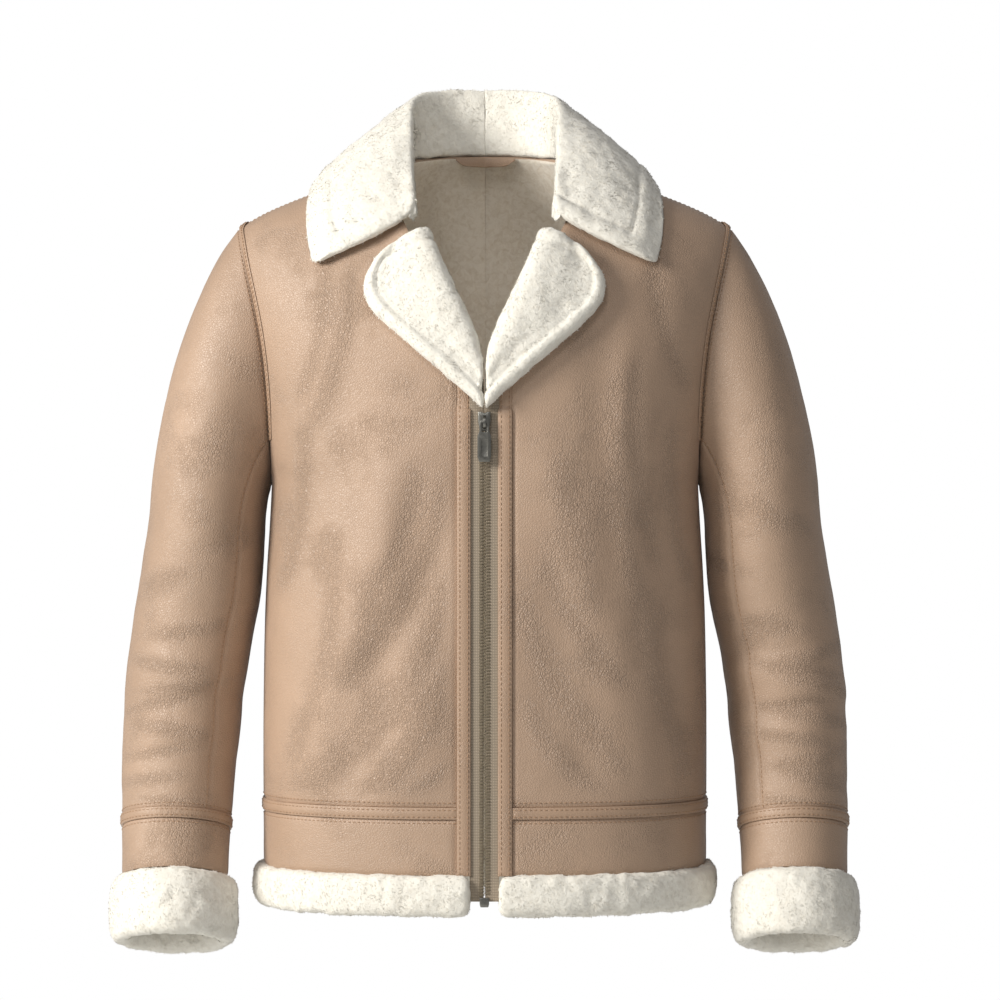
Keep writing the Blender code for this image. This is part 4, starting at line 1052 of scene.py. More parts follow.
def nap(name, grid, normals, count, length, width, seed, closed=False):
    """Short curved blades of wool rooted in a pile surface, shaded with it."""
    rng = np.random.default_rng(seed)
    rows, cols = grid.shape[:2]
    last = rows if closed else rows - 1
    i, j = np.meshgrid(np.arange(last), np.arange(cols), indexing="ij")
    ni, nj = (i + 1) % rows, (j + 1) % cols
    area = np.linalg.norm(np.cross(grid[ni, j] - grid[i, j], grid[i, nj] - grid[i, j]), axis=-1)
    pick = rng.choice(area.size, count, p=(area / area.sum()).ravel())
    i, j = i.ravel()[pick], j.ravel()[pick]
    ni, nj = (i + 1) % rows, (j + 1) % cols
    u, v = rng.random((2, count, 1))
    root = (grid[i, j] * (1 - u) * (1 - v) + grid[ni, j] * u * (1 - v)
            + grid[i, nj] * (1 - u) * v + grid[ni, nj] * u * v)
    up = normals[i, j]
    swirl = np.stack([value_noise(root, 0.009, seed + k) for k in (31, 32, 33)], axis=-1)
    lie = swirl * 1.3 + rng.normal(0, 0.45, (count, 3)) + np.array((0, 0, -0.35))
    lie -= up * np.einsum("ij,ij->i", lie, up)[:, None]
    lie /= np.maximum(0.3, np.linalg.norm(lie, axis=-1))[:, None]
    tall = length * rng.uniform(0.55, 1.15, (count, 1))
    side = np.cross(up, lie)
    side /= np.maximum(1e-9, np.linalg.norm(side, axis=-1))[:, None]
    half = side * width * rng.uniform(0.35, 0.6, (count, 1))
    root = root - up * 0.0004
    mid = root + up * tall * 0.34 + lie * tall * 0.42
    tip = root + up * tall * 0.40 + lie * tall * 0.98
    verts = np.stack([root - half, root + half, mid - half * 0.8, mid + half * 0.8, tip], axis=1)
    verts = verts.reshape(-1, 3)
    base = np.arange(count)[:, None] * 5
    quads, tris = base + np.array((0, 2, 3, 1)), base + np.array((2, 4, 3))
    piece = new_mesh(name, verts, [quads, tris], [LOOKS["wool"]], turn=False)
    shade = up + lie * 0.12
    shade = np.repeat(shade / np.linalg.norm(shade, axis=-1)[:, None], 5, axis=0)
    piece.data.normals_split_custom_set_from_vertices(shade.tolist())
    return piece


def stitches(name, lines, length, gap, radius):
    """Thread stitches laid end to end along lines given as (points, normals)."""
    rings = ((0.0, 0.35, -1.1), (0.2, 0.9, 0.1), (0.8, 0.9, 0.1), (1.0, 0.35, -1.1))
    sides = 5
    verts, quads, caps = [], [], []
    base = 0
    for points, normals in lines:
        run = np.concatenate([[0.0], np.cumsum(np.linalg.norm(np.diff(points, axis=0), axis=-1))])
        total = run[-1]
        number = max(1, int(total / (length + gap)))
        starts = (np.arange(number) + 0.5) * total / number - length / 2
        for start in starts:
            ends = np.stack([[np.interp(start + length * s, run, points[:, k]) for k in range(3)]
                             for s in (0, 1)])
            up = unit(np.array([np.interp(start + length / 2, run, normals[:, k]) for k in range(3)]))
            way = unit(ends[1] - ends[0])
            across = unit(np.cross(way, up))
            for share, size, drop in rings:
                centre = ends[0] + (ends[1] - ends[0]) * share + up * radius * drop
                for k in range(sides):
                    a = 2 * pi * k / sides
                    verts.append(centre + (across * cos(a) + up * sin(a)) * radius * size)
            for r in range(len(rings) - 1):
                for k in range(sides):
                    n = (k + 1) % sides
                    quads.append([base + r * sides + k, base + r * sides + n,
                                  base + (r + 1) * sides + n, base + (r + 1) * sides + k])
            caps.append([base + k for k in range(sides)][::-1])
            caps.append([base + (len(rings) - 1) * sides + k for k in range(sides)])
            base += len(rings) * sides
    verts = np.array(verts)
    return new_mesh(name, verts, [np.array(quads), np.array(caps)], [LOOKS["thread"]])


# Looks

LOOKS = {}


def linear_colour(text):
    """sRGB colour as a hex string, to linear light."""
    parts = [int(text[k:k + 2], 16) / 255 for k in (0, 2, 4)]
    return [p / 12.92 if p <= 0.04045 else ((p + 0.055) / 1.055) ** 2.4 for p in parts] + [1.0]


def shade_of(colour, share):
    return [min(1.0, part * share) for part in colour[:3]] + [1.0]


def fill(tree, made, inputs):
    """Gives each named input of a node its value, or a link from another node's output."""
    for key, value in inputs.items():
        if isinstance(value, bpy.types.NodeSocket):
            tree.links.new(value, made.inputs[key])
        else:
            made.inputs[key].default_value = value


def add_node(tree, kind, inputs, output=0, **settings):
    """Adds a node with its settings and inputs, and gives back one of its outputs, if it has any."""
    made = tree.nodes.new(kind)
    for key, value in settings.items():
        setattr(made, key, value)
    fill(tree, made, inputs)
    return made.outputs[output] if made.outputs else None


def new_look(name):
    look = bpy.data.materials.new(name)
    look.use_nodes = True
    tree = look.node_tree
    return look, tree, tree.nodes["Principled BSDF"], add_node(tree, "ShaderNodeTexCoord", {}, "Object")


def leather_look(name, colour, grain, depth, roughness):
    """Finished lamb leather: a low sheen over pebbles of grain, which deepen and crack where it creases, with
    painted shade in their hollows and cracks.
    """
    look, tree, shader, place = new_look(name)
    warp = add_node(tree, "ShaderNodeTexNoise", {"Vector": place, "Scale": 0.35 / grain, "Detail": 2.0},
                    "Color")
    push = add_node(tree, "ShaderNodeVectorMath", {0: warp, "Scale": grain * 0.9}, operation="SCALE")
    bent = add_node(tree, "ShaderNodeVectorMath", {0: place, 1: push}, operation="ADD")
    pebbles = add_node(tree, "ShaderNodeTexVoronoi", {"Vector": bent, "Scale": 1 / grain}, "Distance",
                       feature="DISTANCE_TO_EDGE")
    stretched = add_node(tree, "ShaderNodeMapping", {"Vector": bent, "Rotation": (0.0, 0.7, 0.0),
                                                     "Scale": (1.0, 1.0, 0.42)})
    cracks = add_node(tree, "ShaderNodeTexVoronoi", {"Vector": stretched, "Scale": 0.48 / grain}, "Distance",
                      feature="DISTANCE_TO_EDGE")
    patches = add_node(tree, "ShaderNodeTexNoise", {"Vector": place, "Scale": 17.0, "Detail": 3.0})
    patch = add_node(tree, "ShaderNodeMapRange", {"Value": patches, "From Min": 0.50, "From Max": 0.68,
                                                  "To Max": 0.55})
    creased = add_node(tree, "ShaderNodeAttribute", {}, "Fac", attribute_name="crease")
    worked = add_node(tree, "ShaderNodeMath", {0: creased, 1: patch}, operation="ADD", use_clamp=True)
    hollow = add_node(tree, "ShaderNodeMapRange", {"Value": pebbles, "From Max": 0.22, "To Min": 1.0,
                                                   "To Max": 0.0})
    deepen = add_node(tree, "ShaderNodeMapRange", {"Value": worked, "To Min": 0.30})
    valley = add_node(tree, "ShaderNodeMath", {0: hollow, 1: deepen}, operation="MULTIPLY")
    split = add_node(tree, "ShaderNodeMapRange", {"Value": cracks, "From Max": 0.10, "To Min": 0.9,
                                                  "To Max": 0.0})
    gash = add_node(tree, "ShaderNodeMath", {0: split, 1: worked}, operation="MULTIPLY")
    low = add_node(tree, "ShaderNodeMath", {0: valley, 1: gash}, operation="ADD", use_clamp=True)
    pores = add_node(tree, "ShaderNodeTexNoise", {"Vector": place, "Scale": 2.2 / grain, "Detail": 2.0})
    face = add_node(tree, "ShaderNodeMapRange", {"Value": low, "To Min": 1.0, "To Max": 0.0})
    height = add_node(tree, "ShaderNodeMath", {0: pores, 1: 0.25, 2: face}, operation="MULTIPLY_ADD")
    clouds = add_node(tree, "ShaderNodeTexNoise", {"Vector": place, "Scale": 6.5, "Detail": 4.0,
                                                   "Roughness": 0.62})
    cloud = add_node(tree, "ShaderNodeMapRange", {"Value": clouds, "From Min": 0.32, "From Max": 0.70})
    base = add_node(tree, "ShaderNodeMix", {0: cloud, 6: shade_of(colour, 0.90), 7: shade_of(colour, 1.07)},
                    2, data_type="RGBA")
    # Painted shade: the colour darkens in the hollows and cracks of the grain, most where the leather
    # creases.
    grain_shade_mask = add_node(tree, "ShaderNodeMath", {0: low, 1: 0.42}, operation="MULTIPLY")
    grain_shaded_colour = add_node(tree, "ShaderNodeMix", {0: grain_shade_mask, 6: base, 7: shade_of(colour, 0.55)}, 2, data_type="RGBA")
    rubbed = add_node(tree, "ShaderNodeMath", {0: low, 1: 0.35, 2: clouds}, operation="MULTIPLY_ADD")
    dull = add_node(tree, "ShaderNodeMapRange", {"Value": rubbed, "From Min": 0.3, "From Max": 1.1,
                                                 "To Min": roughness - 0.05, "To Max": roughness + 0.16})
    bump = add_node(tree, "ShaderNodeBump", {"Height": height, "Strength": 0.75, "Distance": depth})
    fill(tree, shader, {"Base Color": grain_shaded_colour, "Roughness": dull, "Normal": bump, "IOR": 1.55,
                        "Sheen Weight": 0.12, "Sheen Roughness": 0.35})
    return look


def pile_look(name, colour, deep, curl, depth):
    """Sheepskin pile: matt wool with a soft sheen, with painted shade down between the curls and some random
    mottling.
    """
    look, tree, shader, place = new_look(name)
    curls = add_node(tree, "ShaderNodeTexNoise", {"Vector": place, "Scale": 1 / curl, "Detail": 4.0,
                                                  "Roughness": 0.6, "Distortion": 0.8})
    patches = add_node(tree, "ShaderNodeTexNoise", {"Vector": place, "Scale": 22.0, "Detail": 2.0})
    both = add_node(tree, "ShaderNodeMix", {0: 0.25, 2: curls, 3: patches})
    tuft = add_node(tree, "ShaderNodeMapRange", {"Value": both, "From Min": 0.30, "From Max": 0.56})
    # Painted shade: the colour darkens where the curls dip, which is also where the bump is low; the patches
    # add random mottling.
    base = add_node(tree, "ShaderNodeMix", {0: tuft, 6: shade_of(deep, 1.0), 7: shade_of(colour, 1.0)}, 2,
                    data_type="RGBA")
    bump = add_node(tree, "ShaderNodeBump", {"Height": curls, "Strength": 0.6, "Distance": depth})
    fill(tree, shader, {"Base Color": base, "Roughness": 0.92, "Normal": bump, "Specular IOR Level": 0.2,
                        "Sheen Weight": 0.35, "Sheen Roughness": 0.5})
    return look


def tape_look(name, colour):
    """Woven polyester tape: ribs across threads, both drawn coarser than real ones so that they show."""
    look, tree, shader, place = new_look(name)
    ribs = add_node(tree, "ShaderNodeTexWave", {"Vector": place, "Scale": 130.0, "Distortion": 1.5,
                                                "Detail": 1.0}, "Fac", bands_direction="Z")
    threads = add_node(tree, "ShaderNodeTexWave", {"Vector": place, "Scale": 210.0}, "Fac",
                       bands_direction="X")
    weave = add_node(tree, "ShaderNodeMath", {0: ribs, 1: threads}, operation="MULTIPLY")
    # Painted shade: the weave is darker in its grooves, where its bump is low, and lighter on its ribs.
    lit = add_node(tree, "ShaderNodeMapRange", {"Value": weave, "From Max": 0.8})
    base = add_node(tree, "ShaderNodeMix", {0: lit, 6: shade_of(colour, 0.62), 7: shade_of(colour, 1.05)}, 2,
                    data_type="RGBA")
    bump = add_node(tree, "ShaderNodeBump", {"Height": weave, "Strength": 0.5, "Distance": 0.0004})
    fill(tree, shader, {"Base Color": base, "Roughness": 0.85, "Normal": bump})
    return look


def thread_look(name, colour):
    """Waxed polyester thread: plies of slightly different shade with a dull gloss."""
    look, tree, shader, place = new_look(name)
    twist = add_node(tree, "ShaderNodeTexNoise", {"Vector": place, "Scale": 900.0})
    ply = add_node(tree, "ShaderNodeMapRange", {"Value": twist, "From Min": 0.35, "From Max": 0.65})
    base = add_node(tree, "ShaderNodeMix", {0: ply, 6: shade_of(colour, 0.8), 7: shade_of(colour, 1.1)}, 2,
                    data_type="RGBA")
    fill(tree, shader, {"Base Color": base, "Roughness": 0.6})
    return look


def metal_look(name, colour, roughness):
    """Die-cast zinc with a dull antique nickel finish: soft gloss, with duller and darker spots."""
    look, tree, shader, place = new_look(name)
    wear = add_node(tree, "ShaderNodeTexNoise", {"Vector": place, "Scale": 420.0, "Detail": 4.0})
    spot = add_node(tree, "ShaderNodeMapRange", {"Value": wear, "From Min": 0.35, "From Max": 0.68})
    base = add_node(tree, "ShaderNodeMix", {0: spot, 6: shade_of(colour, 0.72), 7: shade_of(colour, 1.12)}, 2,
                    data_type="RGBA")
    gloss = add_node(tree, "ShaderNodeMapRange", {"Value": wear, "From Min": 0.3, "From Max": 0.7,
                                                  "To Min": roughness + 0.10, "To Max": roughness - 0.06})
    bump = add_node(tree, "ShaderNodeBump", {"Height": wear, "Strength": 0.25, "Distance": 0.0002})
    fill(tree, shader, {"Base Color": base, "Metallic": 1.0, "Roughness": gloss, "Normal": bump})
    return look


def plain_look(name, colour):
    """Matt paper floor, very slightly mottled."""
    look, tree, shader, place = new_look(name)
    grain = add_node(tree, "ShaderNodeTexNoise", {"Vector": place, "Scale": 3.0})
    fleck = add_node(tree, "ShaderNodeMapRange", {"Value": grain, "From Min": 0.3, "From Max": 0.7})
    base = add_node(tree, "ShaderNodeMix", {0: fleck, 6: shade_of(colour, 0.98), 7: shade_of(colour, 1.0)}, 2,
                    data_type="RGBA")
    fill(tree, shader, {"Base Color": base, "Roughness": 0.9})
    return look


# Settings that a user would change

class JacketSizes(bpy.types.PropertyGroup):
    cell: bpy.props.FloatProperty(
        name="Leather Cell", description="Size of a face of the leather panels", default=0.0046,
        min=0.002, unit="LENGTH")
    pile_cell: bpy.props.FloatProperty(
        name="Pile Cell", description="Size of a face of the wool", default=0.0024, min=0.001, unit="LENGTH")
    grain: bpy.props.FloatProperty(
        name="Grain", description="Width of a pebble of the leather's grain", default=0.0021, unit="LENGTH")
    grain_depth: bpy.props.FloatProperty(
        name="Grain Depth", description="Depth of the grain", default=0.0008, unit="LENGTH")
    nap_length: bpy.props.FloatProperty(
        name="Nap Length", description="Length of a blade of wool", default=0.0029, unit="LENGTH")
    nap_width: bpy.props.FloatProperty(
        name="Nap Width", description="Width of a blade of wool", default=0.0008, unit="LENGTH")
    nap_density: bpy.props.FloatProperty(
        name="Nap Density", description="Blades of wool on each square millimetre", default=0.15)
    stitch: bpy.props.FloatProperty(
        name="Stitch Length", description="Length of a stitch", default=0.0034, unit="LENGTH")
    stitch_gap: bpy.props.FloatProperty(
        name="Stitch Gap", description="Space between two stitches", default=0.0011, unit="LENGTH")
    thread: bpy.props.FloatProperty(
        name="Thread Radius", description="Half the thickness of the thread", default=0.00042, unit="LENGTH")


def colour_setting(name, description, text):
    return bpy.props.FloatVectorProperty(name=name, description=description, default=linear_colour(text)[:3],
                                         min=0.0, max=1.0, size=3, subtype="COLOR")


class JacketColours(bpy.types.PropertyGroup):
    leather: colour_setting("Leather", "Tan of the leather panels", "B0947D")
    strap: colour_setting("Straps", "Tan of the straps and strips", "AD9078")
    wool: colour_setting("Wool", "Cream of the wool pile", "EAE6DC")
    # The darker wool and lining colours are painted shade, laid between the curls of the pile.
    wool_painted_shade: colour_setting("Wool Painted Shade", "Shade of the wool between its curls", "DFD9CD")
    lining: colour_setting("Lining", "Clipped pile inside the jacket", "F2E9DB")
    lining_painted_shade: colour_setting("Lining Painted Shade", "Shade of the clipped pile between its curls", "DFD2BF")
    thread: colour_setting("Thread", "Sewing thread", "A68569")
    tape: colour_setting("Tape", "Woven tape of the zip", "A89986")
    teeth: colour_setting("Teeth", "Metal of the zip's teeth", "A79A84")
    metal: colour_setting("Slider", "Metal of the slider and pull", "86847E")


# Making the pieces

NAMES = {1: "left", -1: "right"}


def dress(piece, node, extra=()):
    """Puts a piece in the place of its solid, which it hides, and on its body."""
    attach(piece, "jacket")
    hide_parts(node)
    for part in extra:
        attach(part, "jacket")
    return piece


def panel_walls(grid, norms, raise_by=0.0, thick=WALL):
    """Face and back of a panel that lies on a grid."""
    return grid + norms * raise_by, grid + norms * (raise_by - thick)


def still_detail(points):
    """No waves and no creases."""
    return np.zeros(points.shape[:-1]), np.zeros(points.shape[:-1])


def leather_looks(name="leather"):
    return [LOOKS[name], LOOKS["lining"]]


def line_inside(face, normals, border, distance, lift=0.0002, first=0.0, last=1.0):
    """Points along a line that keeps a distance inside one border of a face: b, t, i or o."""
    away = border_distances(face)[border]
    grid, n = face, normals
    if border in "io":
        grid, n, away = face.swapaxes(0, 1), normals.swapaxes(0, 1), away.T
    if border in "to":
        grid, n, away = grid[::-1], n[::-1], away[::-1]
    points, ups = [], []
    count = grid.shape[1]
    for j in range(int(first * (count - 1)), int(last * (count - 1)) + 1):
        points.append([np.interp(distance, away[:, j], grid[:, j, k]) for k in range(3)])
        ups.append([np.interp(distance, away[:, j], n[:, j, k]) for k in range(3)])
    points, ups = np.array(points), np.array(ups)
    return points + ups * lift, ups


def upright_grids(x_low, x_high, levels, rise, thick):
    """Face and back of a flat upright piece on the front of the body, flush where a lapel lies on it."""
    outer = np.zeros((len(levels), 3, 3))
    inner = np.zeros((len(levels), 3, 3))
    for i, z in enumerate(levels):
        out_by = rise if z <= LAPEL_FOOT else min(rise, 0.0)
        for j, x in enumerate((x_low, (x_low + x_high) / 2, x_high)):
            outer[i, j] = front_column(x, z, out_by)
            inner[i, j] = front_column(x, z, rise - thick)
    return outer, inner


def sleeve_bands(levels, side, rise, thick):
    """Face and back of a band all round a sleeve."""
    turns = [2 * pi * k / AROUND for k in range(AROUND)]
    outer, inner = (np.array([[ring_point(level, turn, side, reach) for turn in turns] for level in levels])
                    for reach in (rise, rise - thick))
    return outer, inner


STITCHES = {"body": [], "hem": [], "front": [], "sleeve_left": [], "sleeve_right": []}


class JACKET_OT_looks(bpy.types.Operator):
    """Makes the materials of the leather, wool, thread, tape and metal"""
    bl_idname = "jacket.looks"
    bl_label = "Make Materials"

    def execute(self, context):
        sizes, colours = context.scene.jacket_sizes, context.scene.jacket_colours
        LOOKS["leather"] = leather_look("tan_finished_lamb_leather", colours.leather, sizes.grain,
                                        sizes.grain_depth, 0.44)
        LOOKS["strap"] = leather_look("tan_pressed_strap_leather", colours.strap, sizes.grain * 0.8,
                                      sizes.grain_depth * 0.6, 0.42)
        LOOKS["wool"] = pile_look("cream_sheepskin_pile", colours.wool, colours.wool_painted_shade, 0.0042, 0.0012)
        LOOKS["lining"] = pile_look("clipped_sheepskin_pile", colours.lining, colours.lining_painted_shade,
                                    0.0050, 0.0010)
        LOOKS["thread"] = thread_look("waxed_polyester_thread", colours.thread)
        LOOKS["tape"] = tape_look("woven_polyester_tape", colours.tape)
        LOOKS["teeth"] = metal_look("antique_brass_plated_zinc", colours.teeth, 0.42)
        LOOKS["metal"] = metal_look("dull_nickel_plated_zinc", colours.metal, 0.36)
        return {"FINISHED"}


class JACKET_OT_body(bpy.types.Operator):
    """Makes the front and back panels with their folds and seams"""
    bl_idname = "jacket.body"
    bl_label = "Make Body Panels"

    def execute(self, context):
        step = context.scene.jacket_sizes.cell
        for side in (1, -1):
            fore, fore_n, aft, aft_n = BODY_GRIDS[side]
            for kind, grid, norms, seed in (("front", fore, fore_n, 11), ("back", aft, aft_n, 23)):
                name = f"{kind}_{NAMES[side]}"
                outer, inner = panel_walls(grid, norms)
                piece, face, up = cloth_wall(f"{name}_panel", outer, inner, step, leather_looks(),
                                             body_detail(name, seed + side), HEM_CALM)
                dress(piece, name)
                STITCHES["body"].append(line_inside(face, up, "b", HEM_ROW))
                if kind == "back":
                    STITCHES["body"].append(line_inside(face, up, "i", SEAM_ROW))
                else:
                    STITCHES["body"].append(line_inside(face, up, "t", SEAM_ROW))
        return {"FINISHED"}


class JACKET_OT_hem(bpy.types.Operator):
    """Makes the strap and the band round the hem"""
    bl_idname = "jacket.hem"
    bl_label = "Make Hem Strap and Band"

    def execute(self, context):
        step = context.scene.jacket_sizes.cell
        for part, levels, rise, look, slot, roll, lines in (
            ("hem_strap", (STRAP_BOTTOM, STRAP_TOP), STRAP_RAISE, "strap", "leather_strap", 0.0009,
             (("b", STRAP_ROW), ("t", STRAP_ROW))),
            ("hem_band", (BAND_BOTTOM, BAND_MIDDLE, STRAP_BOTTOM), 0.0, "leather", "leather", 0.0012,
             (("t", SEAM_ROW),)),
        ):
            grids = [(f"{part}_{NAMES[side]}", ring_rows(levels, True, side)) for side in (1, -1)]
            left, right = ring_rows(levels, False, 1), ring_rows(levels, False, -1)
            grids.append((f"{part}_back", np.concatenate([left[:, ::-1], right[:, 1:]], axis=1)))
            for name, grid in grids:
                outer, inner = panel_walls(grid, level_normals(grid), rise, WALL + rise)
                piece, face, up = cloth_wall(f"{name}_piece", outer, inner, step, leather_looks(look),
                                             plain_detail(len(name)), SEAM_CALM, roll)
                dress(piece, name)
                for border, away in lines:
                    STITCHES["hem"].append(line_inside(face, up, border, away))
        return {"FINISHED"}


class JACKET_OT_sleeves(bpy.types.Operator):
    """Makes the top and under sleeves, their straps and bands"""
    bl_idname = "jacket.sleeves"
    bl_label = "Make Sleeves"

    def execute(self, context):
        step = context.scene.jacket_sizes.cell
        for side in (1, -1):
            tag = NAMES[side]
            rows = STITCHES[f"sleeve_{tag}"]
            grid, norms = sleeve_grid(side)
            for name, first, last in (("sleeve_top", TOP_START, TOP_END),
                                      ("sleeve_under", TOP_END, TOP_START)):
                outer, inner = panel_walls(turn_columns(grid, first, last), turn_columns(norms, first, last))
                piece, face, up = cloth_wall(f"{name}_{tag}_panel", outer, inner, step, leather_looks(),
                                             sleeve_detail(side, 37 + side), SEAM_CALM)
                dress(piece, f"{name}_{tag}")
                rows.append(line_inside(face, up, "t", CAP_ROW))
                if name == "sleeve_top":
                    rows.append(line_inside(face, up, "i", SLEEVE_ROW))
                    rows.append(line_inside(face, up, "o", SLEEVE_ROW))
                    rows.append(line_inside(face, up, "b", SLEEVE_ROW))
            for name, levels, rise, look, slot, lines in (
                ("sleeve_strap", (SLEEVE_STRAP[0] - SEAM, SLEEVE_STRAP[1]), STRAP_RAISE, "strap",
                 "leather_strap", (("b", STRAP_ROW), ("t", STRAP_ROW))),
                ("sleeve_band", (SLEEVE_STRAP[1] - SEAM, SLEEVE_BAND_MIDDLE, SLEEVE_BAND_END), 0.0,
                 "leather", "leather", (("b", CAP_ROW),)),
            ):
                outer, inner = sleeve_bands(levels, side, rise, WALL + rise)
                piece, face, up = cloth_wall(f"{name}_{tag}_piece", outer, inner, step, leather_looks(look),
                                             plain_detail(51 + side), SEAM_CALM, 0.0009, closed=True)
                dress(piece, f"{name}_{tag}")
                for border, away in lines:
                    points, ups = line_inside(face, up, border, away)
                    rows.append((np.concatenate([points, points[:1]]), np.concatenate([ups, ups[:1]])))
        return {"FINISHED"}


class JACKET_OT_trim(bpy.types.Operator):
    """Makes the strips and tapes beside the zip, the armhole straps and the hanger loop"""
    bl_idname = "jacket.trim"
    bl_label = "Make Strips and Straps"

    def execute(self, context):
        for side in (1, -1):
            tag = NAMES[side]
            levels = levels_between(BAND_BOTTOM, LAPEL_FOOT, 12) + [LAPEL_FOOT + 0.002, STRIP_TOP]
            outer, inner = upright_grids(side * STRIP_IN, side * STRIP_OUT, levels, STRIP_RAISE,
                                         WALL + STRIP_RAISE)
            name = f"front_strip_{tag}"
            piece, face, up = cloth_wall(f"{name}_piece", outer, inner, 0.0026, leather_looks("strap"),
                                         plain_detail(61 + side), SEAM_CALM, 0.0010)
            dress(piece, name)
            for border in ("i", "o"):
                STITCHES["front"].append(line_inside(face, up, border, STRIP_ROW))
            levels = levels_between(TAPE_BOTTOM, LAPEL_FOOT, 12) + [STRIP_TOP]
            outer, inner = upright_grids(side * TAPE_EDGE, side * (STRIP_IN + TAPE_UNDER), levels, -TAPE_SINK,
                                         TAPE_THICK)
            name = f"zip_tape_{tag}"
            piece = cloth_wall(f"{name}_weave", outer, inner, 0.0030, [LOOKS["tape"]], still_detail,
                               SEAM_CALM, 0.0002, inner_roll=0.0)[0]
            dress(piece, name)
            self.armhole(side, tag)
        self.loop()
        return {"FINISHED"}

    def armhole(self, side, tag):
        fore, fore_n, aft, aft_n = BODY_GRIDS[side]
        top = fore.shape[0] - 1
        stops = [(fore, fore_n, i) for i in range(LOW_ROWS + STRAP_START, top + 1)]
        stops += [(aft, aft_n, i) for i in range(top - 1, LOW_ROWS + STRAP_START - 1, -1)]
        outer, inner = [], []
        for grid, norms, i in stops:
            away, away_n = grid[i, -2], norms[i, -2]
            near = grid[i, -1] + unit(away - grid[i, -1]) * STRAP_SET
            near_n = norms[i, -1]
            middle, middle_n = (near + away) / 2, unit(near_n + away_n)
            across = ((near, near_n), (middle, middle_n), (away, away_n))
            inner.append([point + out * STRAP_LIFT for point, out in across])
            outer.append([point + out * STRAP_FACE for point, out in across])
        name = f"armhole_strap_{tag}"
        piece, face, up = cloth_wall(f"{name}_piece", np.array(outer), np.array(inner), 0.0030,
                                     [LOOKS["strap"]], plain_detail(71 + side), SEAM_CALM, 0.0008,
                                     inner_roll=0.0)
        dress(piece, name)
        for border in ("i", "o"):
            STITCHES["body"].append(line_inside(face, up, border, ARMHOLE_ROW))

    def loop(self):
        outer, inner = [], []
        for k in range(9):
            t = -1 + 2 * k / 8
            x = LOOP_HALF * t
            z = LOOP_Z + LOOP_BOW * (1 - t * t)
            half = LOOP_TALL - LOOP_TAPER * abs(t)
            y = depth_at(x, z + half, False) - LOOP_BACK
            foot = z - half + LOOP_SLANT * abs(t) ** 5
            rows = (foot, (foot + z + half) / 2, z + half)
            outer.append([(x, y - LOOP_THIN, row) for row in rows])
            inner.append([(x, y + LOOP_THIN, row) for row in rows])
        piece = cloth_wall("hanger_loop_piece", np.array(outer), np.array(inner), 0.0012, [LOOKS["strap"]],
                           plain_detail(81), SEAM_CALM, 0.0004, inner_roll=0.0)[0]
        dress(piece, "hanger_loop")


def nose_groove(nose, width, run_in, depth=0.0017, half=0.0017):
    """Sewn line on the face of a collar or lapel, a width in from its outer edge and from one end."""
    def groove(grid, run):
        rows, cols = grid.shape[:2]
        lengths = np.linalg.norm(np.diff(grid, axis=1), axis=-1)
        around = np.concatenate([np.zeros((rows, 1)), np.cumsum(lengths, axis=1)], axis=1)
        at_nose = around[:, nose(cols)][:, None]
        from_edge = at_nose - around
        end = (run[-1] - run if run_in > 0 else run)[:, None]
        on_face = smooth_step(from_edge / 0.004)
        near = np.minimum(np.where(from_edge > 0, from_edge, 1.0), end + 0 * from_edge)
        cut = np.exp(-((near - width) / half) ** 2)
        swell = 0.0011 * np.exp(-((near - width * 0.48) / (width * 0.42)) ** 2)
        return (swell - depth * cut) * on_face
    return groove


